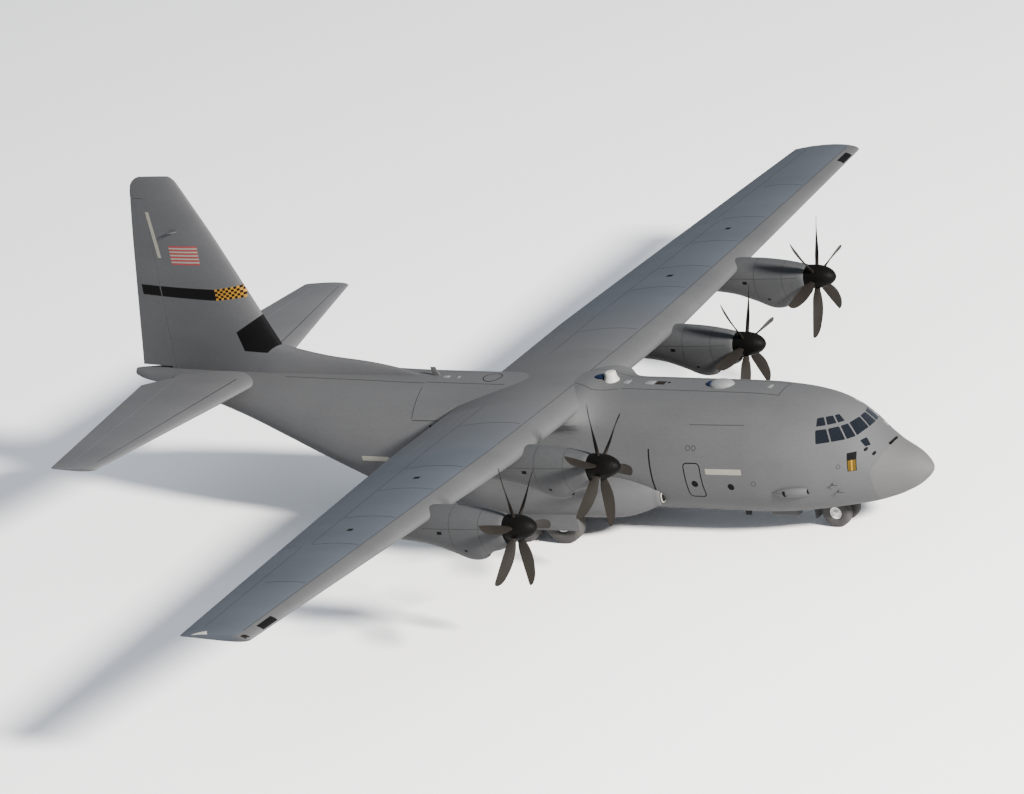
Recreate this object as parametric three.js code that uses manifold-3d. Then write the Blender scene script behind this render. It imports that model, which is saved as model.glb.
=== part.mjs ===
// A four-engined turboprop military transport plane, parked on its gear, as a half-size model.
// Nose towards -Y, left wing towards +X, ground at z = 0. Every size below is that of the full-size
// aircraft in millimetres, and the last group scales the whole by SCALE.
import * as THREE from "three";
import { mergeVertices } from "three/addons/utils/BufferGeometryUtils.js";
import Module from "manifold-3d";

const wasm = await Module();
wasm.setup();

// Driving dimensions. A station s is a distance aft of the nose tip.
const SCALE = 0.5;
const LENGTH = 29790;
const HALF_SPAN = 20205;
const WALL = 90; // skin and frames of the fuselage together
const THIN_WALL = { from: 16000, to: 20000, less: 35 }; // how much thinner it is in the tail
const SEAT = 0.8; // room between two pieces that touch
const RUN = 14; // room between two pieces that move past each other
const HINGE_RUN = 24; // room round the nose of a hinged surface
const HULL_SIDES = 24;
const LINING_SIDES = 16;
const HULL_SQUARE = 2.25; // how square the lower half of the fuselage is: 2 would be an ellipse

const FLIGHT_DECK_END = 5560;
const HOLD_END = 18100;
const FLOOR_TOP = 1180;
const FLOOR_DEPTH = 220;
const DECK_TOP = 2100;
const DECK_DEPTH = 80;

const yOf = (s) => s - LENGTH / 2;

// Solids, made from three.js geometries and joined or cut as closed bodies.
function bodyOf(geometry) {
  const bare = geometry.clone();
  bare.deleteAttribute("normal");
  bare.deleteAttribute("uv");
  const merged = mergeVertices(bare, 1e-3);
  const vertProperties = merged.attributes.position.array;
  const triVerts = new Uint32Array(merged.index.array);
  const made = new wasm.Manifold(new wasm.Mesh({ numProp: 3, vertProperties, triVerts }));
  if (made.volume() > 0) return made;
  for (let i = 0; i < triVerts.length; i += 3)
    [triVerts[i + 1], triVerts[i + 2]] = [triVerts[i + 2], triVerts[i + 1]];
  return new wasm.Manifold(new wasm.Mesh({ numProp: 3, vertProperties, triVerts }));
}

function geometryOf(body) {
  const mesh = body.getMesh();
  const points = new Float32Array(mesh.numVert * 3);
  for (let i = 0; i < mesh.numVert; i++)
    points.set(mesh.vertProperties.subarray(i * mesh.numProp, i * mesh.numProp + 3), i * 3);
  const geometry = new THREE.BufferGeometry();
  geometry.setAttribute("position", new THREE.BufferAttribute(points, 3));
  geometry.setIndex(new THREE.BufferAttribute(new Uint32Array(mesh.triVerts), 1));
  return geometry;
}

const joined = (...bodies) => bodies.flat().reduce((all, body) => all.add(body));
const cut = (body, ...tools) => tools.flat().reduce((rest, tool) => rest.subtract(tool), body);
const largest = (body) => body.decompose().sort((a, b) => b.volume() - a.volume())[0];

// The flat face that closes a ring, as triangles that all turn the same way as the ring.
function capOf(ring) {
  const normal = new THREE.Vector3();
  ring.forEach((a, i) => {
    const b = ring[(i + 1) % ring.length];
    normal.x += (a[1] - b[1]) * (a[2] + b[2]);
    normal.y += (a[2] - b[2]) * (a[0] + b[0]);
    normal.z += (a[0] - b[0]) * (a[1] + b[1]);
  });
  const size = normal.toArray().map(Math.abs);
  const drop = size.indexOf(Math.max(...size));
  const flat = ring.map((p) => new THREE.Vector2(p[(drop + 1) % 3], p[(drop + 2) % 3]));
  const turn = Math.sign(THREE.ShapeUtils.area(flat));
  return THREE.ShapeUtils.triangulateShape(flat, []).map(([a, b, c]) => {
    const side = THREE.ShapeUtils.area([flat[a], flat[b], flat[c]]);
    return Math.sign(side) === turn ? [a, b, c] : [a, c, b];
  });
}

// A closed body through rings of equal count, each a list of [x, y, z].
function loft(rings) {
  const count = rings[0].length;
  const index = [];
  for (let r = 0; r + 1 < rings.length; r++)
    for (let i = 0; i < count; i++) {
      const [a, b] = [r * count + i, r * count + ((i + 1) % count)];
      index.push(a, b, b + count, a, b + count, a + count);
    }
  const last = (rings.length - 1) * count;
  for (const [a, b, c] of capOf(rings[0])) index.push(c, b, a);
  for (const [a, b, c] of capOf(rings.at(-1))) index.push(last + a, last + b, last + c);
  const geometry = new THREE.BufferGeometry();
  geometry.setAttribute("position", new THREE.Float32BufferAttribute(rings.flat(2), 3));
  geometry.setIndex(index);
  return bodyOf(geometry);
}

// A block between two corners, given as [x, s, z].
function block([x0, s0, z0], [x1, s1, z1]) {
  const box = new THREE.BoxGeometry(x1 - x0, s1 - s0, z1 - z0);
  return bodyOf(box.translate((x0 + x1) / 2, yOf((s0 + s1) / 2), (z0 + z1) / 2));
}

// A side outline of [s, z] points, as wide as from x0 to x1.
const sidePlate = (outline, x0, x1) =>
  loft([x0, x1].map((x) => outline.map(([s, z]) => [x, yOf(s), z])));

// A plan outline of [x, s] points, from height z0 to z1.
const planPlate = (outline, z0, z1) =>
  loft([z0, z1].map((z) => outline.map(([x, s]) => [x, yOf(s), z])));

// A round bar or cone from point a to point b, each [x, s, z].
function bar(a, b, radiusA, radiusB = radiusA, sides = 16) {
  const from = new THREE.Vector3(a[0], yOf(a[1]), a[2]);
  const to = new THREE.Vector3(b[0], yOf(b[1]), b[2]);
  const way = to.clone().sub(from);
  const shape = new THREE.CylinderGeometry(radiusB, radiusA, way.length(), sides);
  shape.applyQuaternion(
    new THREE.Quaternion().setFromUnitVectors(new THREE.Vector3(0, 1, 0), way.clone().normalize()),
  );
  return bodyOf(shape.translate(...from.add(to).multiplyScalar(0.5).toArray()));
}

// A turned body about the line through [x, s, z] along X, from a closed profile of [offset, radius].
function turnedX(profile, [x, s, z], sides = 28) {
  const points = profile.map(([offset, radius]) => new THREE.Vector2(radius, offset));
  const lathe = new THREE.LatheGeometry([...points, points[0]], sides);
  return bodyOf(lathe.rotateZ(-Math.PI / 2).translate(x, yOf(s), z));
}

// Smooth reading of a table whose rows start with the station: a cubic through its rows.
function readTable(rows, at) {
  const last = rows.length - 1;
  let i = rows.findIndex((row) => row[0] > at) - 1;
  if (i < 0) i = at <= rows[0][0] ? 0 : last - 1;
  const slope = (k, column) => {
    const [before, after] = [rows[Math.max(k - 1, 0)], rows[Math.min(k + 1, last)]];
    return (after[column] - before[column]) / (after[0] - before[0]);
  };
  const span = rows[i + 1][0] - rows[i][0];
  const t = THREE.MathUtils.clamp((at - rows[i][0]) / span, 0, 1);
  return rows[i].slice(1).map((value, k) => {
    const column = k + 1;
    const next = rows[i + 1][column];
    const t2 = t * t;
    const t3 = t2 * t;
    return (
      value * (2 * t3 - 3 * t2 + 1) +
      next * (3 * t2 - 2 * t3) +
      span * (slope(i, column) * (t3 - 2 * t2 + t) + slope(i + 1, column) * (t3 - t2))
    );
  });
}

// Fuselage: station, half width, height of the widest line, top, bottom.
const HULL = [
  [0, 60, 1960, 2020, 1900],
  [60, 205, 1965, 2140, 1800],
  [200, 360, 1980, 2305, 1650],
  [500, 610, 1990, 2530, 1430],
  [1000, 880, 2020, 2790, 1200],
  [1200, 980, 2040, 2890, 1130],
  [1450, 1100, 2080, 3070, 1060],
  [1750, 1230, 2130, 3330, 980],
  [2000, 1330, 2180, 3620, 930],
  [2300, 1450, 2240, 3900, 885],
  [2600, 1560, 2290, 4090, 845],
  [3000, 1700, 2350, 4270, 795],
  [3500, 1860, 2410, 4410, 735],
  [4200, 2020, 2460, 4530, 665],
  [5000, 2110, 2490, 4610, 612],
  [5560, 2140, 2510, 4650, 600],
  [7000, 2150, 2530, 4680, 608],
  [18060, 2150, 2680, 4830, 755],
  [19000, 2150, 2720, 4850, 900],
  [20000, 2130, 2860, 4880, 1330],
  [21400, 2060, 3150, 4910, 2110],
  [23000, 1820, 3600, 4950, 2880],
  [24500, 1480, 3980, 4990, 3480],
  [26000, 1080, 4250, 5020, 3920],
  [27500, 690, 4490, 5020, 4300],
  [28700, 400, 4640, 4990, 4440],
  [29500, 230, 4740, 4950, 4560],
  [LENGTH, 140, 4790, 4925, 4680],
];

function hullRing(s, grow, sides) {
  const [half, wide, top, bottom] = readTable(HULL, s);
  return Array.from({ length: sides }, (_, i) => {
    const angle = (i / sides) * 2 * Math.PI;
    const [across, rise] = [Math.cos(angle), Math.sin(angle)];
    if (rise >= 0) return [(half + grow) * across, yOf(s), wide + (top - wide + grow) * rise];
    const power = 2 / HULL_SQUARE;
    return [
      (half + grow) * Math.sign(across) * Math.abs(across) ** power,
      yOf(s),
      wide - (wide - bottom + grow) * Math.abs(rise) ** power,
    ];
  });
}

// Height of the fuselage's underside at distance x from the middle.
function hullUnder(s, x) {
  const [half, wide, , bottom] = readTable(HULL, s);
  const share = Math.min(1, Math.abs(x) / half) ** HULL_SQUARE;
  return wide - (wide - bottom) * (1 - share) ** (1 / HULL_SQUARE);
}

// Half width of the fuselage at height z.
function hullSide(s, z) {
  const [half, wide, top, bottom] = readTable(HULL, s);
  if (z > wide) return half * Math.sqrt(Math.max(0, 1 - ((z - wide) / (top - wide)) ** 2));
  const share = Math.min(1, (wide - z) / (wide - bottom)) ** HULL_SQUARE;
  return half * (1 - share) ** (1 / HULL_SQUARE);
}

// Stations between the table's rows, where the outer skin bends most.
const BETWEEN = [340, 740, 2150, 20700, 22200];

function hullBody(grow, first = 0, last = LENGTH, between = BETWEEN) {
  const inside = [...HULL.map((row) => row[0]), ...between].filter((s) => s > first && s < last);
  const stations = [first, ...inside.sort((a, b) => a - b), last];
  return loft(stations.map((s) => hullRing(s, grow, HULL_SIDES)));
}

// The inside of the fuselage, at a depth under its outer surface.
const LINING_ROWS = HULL.filter((row, i) => i % 2 === 0 || row[0] > 4000);
function liningBody(depth) {
  const stations = [350, ...LINING_ROWS.map((row) => row[0]).filter((s) => s > 400 && s < 28900), 28950];
  const { from, to, less } = THIN_WALL;
  const thinner = (s) => less * THREE.MathUtils.clamp((s - from) / (to - from), 0, 1);
  return loft(stations.map((s) => hullRing(s, thinner(s) - depth, LINING_SIDES)));
}

const hullOuter = hullBody(0);
const hullInner = liningBody(WALL);
const hullCutter = hullBody(SEAT);
const lining = liningBody(WALL + SEAT);
const shell = cut(hullOuter, hullInner);
const slab = (s0, s1) => block([-4000, s0, -1000], [4000, s1, 8000]);

// Aerofoil panels. A station gives u (distance along the span), leading edge, chord, level of the
// quarter chord, incidence in degrees and thickness over chord. place() turns span, chordwise and
// thickness distances into [x, y, z].
const WING = {
  stations: [
    [0, 11000, 5280, 4432, 2, 0.156],
    [1300, 11050, 5230, 4445, 2, 0.157],
    [2200, 11450, 4830, 4444, 2, 0.17],
    [5590, 11450, 4830, 4480, 2, 0.17],
    [20100, 12160, 2560, 5010, 0, 0.12],
    [HALF_SPAN, 12560, 1760, 5030, 0, 0.05],
  ],
  camber: 0.016,
  place: (u, s, t) => [u, yOf(s), t],
};
const STABILIZER = {
  stations: [
    [0, 24290, 4817, 4740, 0, 0.105],
    [7900, 26150, 1845, 4740, 0, 0.1],
    [8025, 26500, 1250, 4740, 0, 0.05],
  ],
  camber: 0,
  place: (u, s, t) => [u, yOf(s), t],
};
const FIN = {
  stations: [
    [4300, 23350, 6260, 0, 0, 0.11],
    [5900, 23660, 5680, 0, 0, 0.11],
    [6400, 23900, 5360, 0, 0, 0.11],
    [9750, 25460, 3240, 0, 0, 0.11],
    [11340, 26290, 2110, 0, 0, 0.11],
    [11740, 26510, 1730, 0, 0, 0.1],
    [11840, 26690, 1430, 0, 0, 0.05],
  ],
  camber: 0,
  place: (u, s, t) => [t, yOf(s), u],
};
const CHORD_STEPS = [1, 0.82, 0.66, 0.5, 0.34, 0.2, 0.1, 0.03];
const EDGE = 7; // half thickness of a trailing edge

function stationOf(panel, u) {
  const rows = panel.stations;
  const at = Math.abs(u);
  let i = rows.findIndex((row) => row[0] > at) - 1;
  if (i < 0) i = rows.length - 2;
  const t = (at - rows[i][0]) / (rows[i + 1][0] - rows[i][0]);
  return rows[i].map((value, k) => value + (rows[i + 1][k] - value) * t);
}

// A point of a panel at span u, chord fraction c and height t over the camber line.
function panelPoint(panel, u, c, t, ahead = 0) {
  const [, lead, chord, level, incidence] = stationOf(panel, u);
  const tilt = THREE.MathUtils.degToRad(incidence);
  const bow = panel.camber * chord * 4 * c * (1 - c);
  const along = (c - 0.25) * chord + ahead;
  const s = lead + 0.25 * chord + along * Math.cos(tilt) + (t + bow) * Math.sin(tilt);
  return panel.place(u, s, level - along * Math.sin(tilt) + (t + bow) * Math.cos(tilt));
}

function halfThickness(panel, u, c) {
  const [, , chord, , , ratio] = stationOf(panel, u);
  const shape =
    0.2969 * Math.sqrt(c) - 0.126 * c - 0.3516 * c ** 2 + 0.2843 * c ** 3 - 0.1036 * c ** 4;
  return 5 * ratio * chord * shape + EDGE * c;
}

function panelRing(panel, u, grow = 0) {
  const upper = CHORD_STEPS.map((c) => {
    const ahead = c === 1 ? grow : 0;
    return panelPoint(panel, u, c, halfThickness(panel, u, c) + grow, ahead);
  });
  const nose = panelPoint(panel, u, 0, 0, -grow);
  const lower = [...CHORD_STEPS].reverse().map((c) => {
    const ahead = c === 1 ? grow : 0;
    return panelPoint(panel, u, c, -halfThickness(panel, u, c) - grow, ahead);
  });
  return [...upper, nose, ...lower];
}

const panelBody = (panel, spans, grow = 0) => loft(spans.map((u) => panelRing(panel, u, grow)));

// The hollow of a panel, under a wall of the given depth and ahead of its rear spar.
const HOLLOW_STEPS = [0.6, 0.45, 0.3, 0.18, 0.1];
function hollowRing(panel, u, depth) {
  const point = (c, side) => panelPoint(panel, u, c, side * (halfThickness(panel, u, c) - depth));
  return [
    ...HOLLOW_STEPS.map((c) => point(c, 1)),
    ...[...HOLLOW_STEPS].reverse().map((c) => point(c, -1)),
  ];
}
const hollowBody = (panel, spans, depth) => loft(spans.map((u) => hollowRing(panel, u, depth)));

// A hinged trailing surface between spans u0 and u1. hinge(u) is the chord fraction of its axis.
function axisPoint(panel, hinge, u) {
  const [x, y, z] = panelPoint(panel, u, hinge(u), 0);
  return [x, y + LENGTH / 2, z];
}

const noseRadius = (panel, hinge, u) => halfThickness(panel, u, hinge(u));

// Everything behind the hinge line, through the whole thickness.
function behind(panel, hinge, u0, u1, deep = 900) {
  return loft(
    [u0, u1].map((u) => [
      panelPoint(panel, u, hinge(u), -deep),
      panelPoint(panel, u, hinge(u), deep),
      panelPoint(panel, u, 1.3, deep),
      panelPoint(panel, u, 1.3, -deep),
    ]),
  );
}

function noseCone(panel, hinge, u0, u1, grow) {
  const [a, b] = [u0, u1].map((u) => axisPoint(panel, hinge, u));
  const [ra, rb] = [u0, u1].map((u) => noseRadius(panel, hinge, u) + grow);
  return bar(a, b, ra, rb, 12);
}

const HINGE_PIN = 16;
const PIN_FIT = 1.4; // room round a pin in its socket
const PIN_SIDES = 10;
const SHAFT_SIDES = 24;
// Radius of a socket of that many flat sides in which a round pin turns freely.
const socketRadius = (radius, sides) => (radius + PIN_FIT / 2) / Math.cos(Math.PI / sides);
const PIN_REACH = 48; // how far a hinge pin goes past the end rib of its room
const END_GAP = 28; // between the end of a hinged surface and the rib beside it

// The pins at both ends of a surface, along its own axis.
function endPins(panel, hinge, u0, u1, grow) {
  const [a, b] = [u0, u1].map((u) => new THREE.Vector3(...axisPoint(panel, hinge, u)));
  const way = b.clone().sub(a).normalize();
  const reach = PIN_REACH + (grow > 0 ? 6 : 0);
  const inside = END_GAP + 30;
  const ends = [
    [a, -reach, inside],
    [b, -inside, reach],
  ];
  return ends.map(([end, from, to]) => {
    const [first, last] = [from, to].map((far) => end.clone().addScaledVector(way, far));
    return bar(first.toArray(), last.toArray(), HINGE_PIN + grow, HINGE_PIN + grow, PIN_SIDES);
  });
}

function hingedSurface(panel, hinge, u0, u1, whole) {
  const way = Math.sign(u1 - u0);
  const [in0, in1] = [u0 + way * END_GAP, u1 - way * END_GAP];
  const moving = joined(
    whole.intersect(behind(panel, hinge, in0, in1)),
    noseCone(panel, hinge, in0, in1, -1),
    endPins(panel, hinge, u0, u1, 0),
  );
  const room = joined(
    behind(panel, hinge, u0, u1),
    noseCone(panel, hinge, u0, u1, HINGE_RUN),
    endPins(panel, hinge, u0, u1, PIN_FIT),
  );
  return { moving, room };
}

// Places of the doors, the wells and the gear
const NOSE_WELL = { half: 690, s0: 2840, s1: 4270 };
const CREW_DOOR = { s0: 4330, s1: 5110, z0: 1120, z1: 2920 };
const TROOP_DOOR = { s0: 17100, s1: 18010, z0: FLOOR_TOP, z1: 3010 };
const RAMP = { half: 1270, hinge: 18530, end: 21400, tip: 170 };
const CARGO_DOOR = { s0: 21430, s1: 25250, half0: 1250, half1: 620, skin: 120, hinge: 25190 };
const NOSE_GEAR = { s: 3550, track: 300, radius: 495, width: 330 };
const MAIN_GEAR = { stations: [12540, 14070], x: 2170, radius: 710, width: 510 };

// The joint behind the radome is upright at the sides and leans forward over the top.
const RADOME_JOINT = { s: 1600, bend: 2300, topS: 1110, topZ: 2960 };
const radomeZone = (room) => {
  const { s, bend, topS, topZ } = RADOME_JOINT;
  return sidePlate(
    [
      [-100, -500],
      [s + room, -500],
      [s + room, bend],
      [topS + room, topZ],
      [topS + room, 4000],
      [-100, 4000],
    ],
    -2000,
    2000,
  );
};
const radome = shell.intersect(radomeZone(-SEAT));

// Crew door: port side, hinged along its lower edge outside the skin
const doorZone = (room) =>
  block(
    [1000, CREW_DOOR.s0 - room, CREW_DOOR.z0 - room],
    [3000, CREW_DOOR.s1 + room, CREW_DOOR.z1 + room],
  );
const noseWell = block(
  [-NOSE_WELL.half, NOSE_WELL.s0, 0],
  [NOSE_WELL.half, NOSE_WELL.s1, 1500],
);

// Hinge of the crew door: barrels outside the skin along the door's lower edge
const CREW_HINGE = { z: 1112, out: 40, barrel: 22, pin: 9, length: 150, lug: 50, from: [4460, 4840] };
const crewHingeX =
  CREW_HINGE.out +
  Math.max(hullSide(CREW_DOOR.s0, CREW_HINGE.z), hullSide(CREW_DOOR.s1, CREW_HINGE.z));
const crewBar = (s0, s1, radius) =>
  bar([crewHingeX, s0, CREW_HINGE.z], [crewHingeX, s1, CREW_HINGE.z], radius, radius, PIN_SIDES);

function doorKnuckle(s) {
  const { barrel, pin, length } = CREW_HINGE;
  const arm = block(
    [crewHingeX - 150, s, CREW_DOOR.z0 + 2],
    [crewHingeX, s + length, CREW_DOOR.z0 + 18],
  );
  return cut(
    joined(crewBar(s, s + length, barrel), arm),
    crewBar(s - 5, s + length + 5, pin + PIN_FIT),
    hullInner,
  );
}

function shellKnuckle(s) {
  const { barrel, pin, length, lug, z } = CREW_HINGE;
  const lugs = [s - lug, s + length + 2].map((from) =>
    joined(
      crewBar(from, from + lug - 2, barrel),
      block([crewHingeX - 150, from, z - 22], [crewHingeX, from + lug - 2, CREW_DOOR.z0 - RUN]),
    ),
  );
  return cut(joined(lugs, crewBar(s - 5, s + length + 5, pin)), hullInner);
}

const crewDoor = joined(shell.intersect(doorZone(0)), CREW_HINGE.from.map(doorKnuckle));

// Cockpit windows. A row of panes runs from the middle outwards: x of each mullion at the top and at
// the bottom of the row, with the height of its edges there.
const LOWER_PANES = [
  // x top, z top, x bottom, z bottom
  [-190, 3770, -250, 3420],
  [190, 3770, 250, 3420],
  [670, 3735, 820, 3350],
  [890, 3725, 1075, 3335],
  [1120, 3720, 1325, 3335],
  [1290, 3730, 1530, 3335],
];
const UPPER_PANES = [
  [550, 4000, 665, 3800],
  [695, 4005, 860, 3795],
  [860, 4015, 1060, 3795],
  [990, 4020, 1220, 3800],
];
const CHIN_PANES = [
  [580, 3245, 690, 3010],
  [860, 3230, 880, 3010],
];
const MULLION = 24; // half width of a window bar

// Station where the skin is x wide at height z, on the nose.
function noseStation(x, z) {
  let [near, far] = [900, CREW_DOOR.s0];
  while (far - near > 0.5) {
    const middle = (near + far) / 2;
    if (hullSide(middle, z) > Math.abs(x)) far = middle;
    else near = middle;
  }
  return far;
}

// A prism through the skin for the pane between two mullions; side mirrors it.
function panePrism([a, b], side, inset) {
  const corners = [
    [a[0], a[1]],
    [b[0], b[1]],
    [b[2], b[3]],
    [a[2], a[3]],
  ].map(([x, z]) => new THREE.Vector3(side * x, yOf(noseStation(x, z)), z));
  const middle = corners.reduce((sum, corner) => sum.add(corner), new THREE.Vector3()).divideScalar(4);
  const across = corners[1].clone().add(corners[2]).sub(corners[0]).sub(corners[3]).normalize();
  const down = corners[2].clone().add(corners[3]).sub(corners[0]).sub(corners[1]).normalize();
  const out = across.clone().cross(down).normalize();
  const narrowed = corners.map((corner) => {
    const from = corner.clone().sub(middle);
    return corner
      .clone()
      .addScaledVector(across, -Math.sign(from.dot(across)) * (MULLION + inset))
      .addScaledVector(down, -Math.sign(from.dot(down)) * (MULLION / 2 + inset));
  });
  const ring = (far) => narrowed.map((corner) => corner.clone().addScaledVector(out, far).toArray());
  return loft([ring(-300), ring(300)]);
}

const neighbours = (row) => row.slice(1).map((end, i) => [row[i], end]);
const [middlePane, ...lowerPanes] = neighbours(LOWER_PANES);
const sidePanes = [...lowerPanes, ...neighbours(UPPER_PANES), ...neighbours(CHIN_PANES)];
const panes = (inset) => [
  panePrism(middlePane, 1, inset),
  ...sidePanes.flatMap((pane) => [1, -1].map((side) => panePrism(pane, side, inset))),
];
const GLASS = { sunk: 10, depth: WALL + 30 };
const glassInner = liningBody(GLASS.depth);
const glassOuter = hullBody(-GLASS.sunk, 350, 6000, []);
const cockpitGlazing = joined(
  cut(lining, glassInner).intersect(block([-2500, 1500, 2900], [2500, 3450, 4150])),
  panes(SEAT).map((pane) => cut(pane.intersect(glassOuter), glassInner)),
);

const flightDeckShell = joined(
  cut(
    shell.intersect(slab(0, FLIGHT_DECK_END - SEAT)),
    radomeZone(0),
    doorZone(RUN),
    noseWell,
    panes(0),
  ),
  CREW_HINGE.from.map(shellKnuckle),
);

// Flight deck: floor with the stairwell of the crew door, bulkhead with a doorway, panel and console
const flightDeckFloor = joined(
  lining.intersect(
    joined(
      cut(
        block([-3000, 1900, DECK_TOP - DECK_DEPTH], [3000, 5480, DECK_TOP]),
        block([1000, CREW_DOOR.s0 - 60, 1900], [3000, CREW_DOOR.s1 + 60, 2200]),
      ),
      cut(
        block([-3000, 5400, DECK_TOP - 60], [3000, 5480, 5000]),
        block([-330, 5300, DECK_TOP], [330, 5600, 4000]),
      ),
    ),
  ),
  liningBody(WALL + 60).intersect(
    joined(
      block([-1020, 2300, DECK_TOP - 10], [1020, 2400, 3180]),
      block([-1060, 2180, 3170], [1060, 2440, 3220]),
    ),
  ),
  block([-220, 2300, DECK_TOP - 10], [220, 3150, 2640]),
  liningBody(WALL + 60).intersect(
    joined(
      block([-1700, 4420, DECK_TOP - 10], [-760, 5390, 3150]),
      block([-1700, 4640, 3140], [-1000, 5390, 3900]),
    ),
  ),
);

// A pilot's seat: [s, z] outlines of the cushion, the back and the head rest
function pilotSeat(x) {
  const cushion = [
    [2980, 2500],
    [3500, 2440],
    [3500, 2560],
    [2980, 2630],
  ];
  const back = [
    [3440, 2440],
    [3560, 2440],
    [3680, 3330],
    [3590, 3330],
  ];
  const headRest = [
    [3560, 3290],
    [3690, 3290],
    [3700, 3520],
    [3590, 3520],
  ];
  return joined(
    sidePlate(cushion, x - 250, x + 250),
    sidePlate(back, x - 240, x + 240),
    sidePlate(headRest, x - 140, x + 140),
    [-265, 265].map((off) => block([x + off - 30, 3080, 2480], [x + off + 30, 3560, 2780])),
    block([x - 160, 3080, DECK_TOP + SEAT], [x + 160, 3440, 2500]),
  );
}

// Wing and what sits in it. A flap swings on rollers about an axis below it.
const FLAP = { nose: 0.72, lip: 0.82, shroud: 40, under: 35, pivot: 500, swing: 36 };
const ROLLER = { radius: 18, fit: 0.9, behind: 60, above: 20, reach: 48, deep: 78 };
const FLAP_SPANS = { inner: [2250, 5500], outer: [5680, 13420] };
const OUTER_END_GAP = 44; // the outer flap moves outboard as it comes down
const AILERON_SPAN = [13560, 19750];
const AILERON_HINGE = 0.77;
const FAR = 600;

// Outline of a flap's room at span u, or of the flap itself when inset is over 0.
function flapRing(u, inset) {
  const [, , chord] = stationOf(WING, u);
  const top = (c) => halfThickness(WING, u, c);
  const step = inset / chord;
  const under = inset > 0 ? FLAP.under : 0;
  return [
    panelPoint(WING, u, FLAP.nose + step, -FAR),
    panelPoint(WING, u, FLAP.nose + step, top(FLAP.nose) - FLAP.shroud - under),
    panelPoint(WING, u, FLAP.lip + step, top(FLAP.lip) - 0.7 * FLAP.shroud - under),
    panelPoint(WING, u, FLAP.lip + step, FAR),
    panelPoint(WING, u, 1.25, FAR),
    panelPoint(WING, u, 1.25, -FAR),
  ];
}

const flapZone = (spans, inset) => loft(spans.map((u) => flapRing(u, inset)));

// The axis of a flap: its two ends, and the two directions across it.
function flapAxis([u0, u1]) {
  const low = (u) => new THREE.Vector3(...panelPoint(WING, u, FLAP.nose, -FLAP.pivot));
  const chordAt = (u) => stationOf(WING, u)[2];
  const [a, b] = [low(u0), low(u1)];
  const way = b.clone().sub(a).normalize();
  const frame = [
    [u0, a],
    [u1, b],
  ].map(([u, origin]) => {
    const [x, y, z] = panelPoint(WING, u, FLAP.nose + ROLLER.behind / chordAt(u), ROLLER.above);
    const out = new THREE.Vector3(x, y, z).sub(origin);
    out.addScaledVector(way, -out.dot(way));
    const radius = out.length();
    const up = out.normalize();
    let aft = way.clone().cross(up);
    if (aft.y < 0) aft = aft.negate();
    return { origin, radius, up, aft };
  });
  return { way, frame };
}

// A roller's slot (or, with turn 0, the roller): a bent bar about the flap's axis, from from to to
// along it.
function rollerBody({ origin, radius, up, aft }, way, from, to, turn, grow) {
  const half = ROLLER.radius + grow;
  const at = (far, angle, r) =>
    origin
      .clone()
      .addScaledVector(way, far)
      .addScaledVector(up, r * Math.cos(angle))
      .addScaledVector(aft, r * Math.sin(angle))
      .toArray();
  if (turn === 0) {
    const rim = (far) =>
      Array.from({ length: PIN_SIDES }, (_, i) => {
        const a = (i / PIN_SIDES) * 2 * Math.PI;
        return at(far, (half * Math.sin(a)) / radius, radius + half * Math.cos(a));
      });
    return loft([rim(from), rim(to)]);
  }
  const margin = half / radius + 0.01;
  const steps = 8;
  const angles = Array.from(
    { length: steps + 1 },
    (_, i) => -margin + (i / steps) * (THREE.MathUtils.degToRad(turn) + 2 * margin),
  );
  const slack = 0.5;
  const rim = (far) => [
    ...angles.map((angle) => at(far, angle, radius + half + slack)),
    ...[...angles].reverse().map((angle) => at(far, angle, radius - half)),
  ];
  return loft([rim(from), rim(to)]);
}

function flapWith(whole, room, moving) {
  const { way, frame } = flapAxis(room);
  const [start, end] = frame;
  const { reach, deep } = ROLLER;
  const inside = 80;
  const rollers = [
    rollerBody(start, way, -reach, inside, 0, 0),
    rollerBody(end, way, -inside, reach, 0, 0),
  ];
  const slots = [
    rollerBody(start, way, -deep, inside, FLAP.swing, ROLLER.fit),
    rollerBody(end, way, -inside, deep, FLAP.swing, ROLLER.fit),
  ];
  return {
    flap: joined(whole.intersect(flapZone(moving, RUN)), rollers),
    hole: joined(flapZone(room, 0), slots),
  };
}

const sides = [
  ["left", 1],
  ["right", -1],
];
const spansOn = (side, spans) => spans.map((u) => u * side);
const WING_JOINT = 5590;
const centreSpans = (end) => [-end, -2200, -1300, 0, 1300, 2200, end];
const wingCentreWhole = panelBody(WING, centreSpans(WING_JOINT - SEAT));

let wingCentre = wingCentreWhole;
const wings = {};
const flaps = {};
const ailerons = {};
for (const [name, side] of sides) {
  const [i0, i1] = FLAP_SPANS.inner;
  const inner = flapWith(
    wingCentreWhole,
    spansOn(side, [i0, i1]),
    spansOn(side, [i0 + RUN, i1 - RUN]),
  );
  flaps[`flap_${name}_inner`] = inner.flap;
  wingCentre = cut(wingCentre, inner.hole);
  const whole = panelBody(WING, spansOn(side, [WING_JOINT, 20100, HALF_SPAN]));
  const [o0, o1] = FLAP_SPANS.outer;
  const outer = flapWith(
    whole,
    spansOn(side, [o0, o1]),
    spansOn(side, [o0 + RUN, o1 - OUTER_END_GAP]),
  );
  flaps[`flap_${name}_outer`] = outer.flap;
  const [a0, a1] = spansOn(side, AILERON_SPAN);
  const aileron = hingedSurface(WING, () => AILERON_HINGE, a0, a1, whole);
  ailerons[`aileron_${name}`] = aileron.moving;
  wings[`wing_${name}`] = cut(whole, outer.hole, aileron.room);
}

const wingRoom = joined(
  panelBody(WING, centreSpans(WING_JOINT), SEAT),
  sides.map(([, side]) =>
    panelBody(WING, spansOn(side, [WING_JOINT - 1, 20100, HALF_SPAN]), SEAT),
  ),
);

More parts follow.
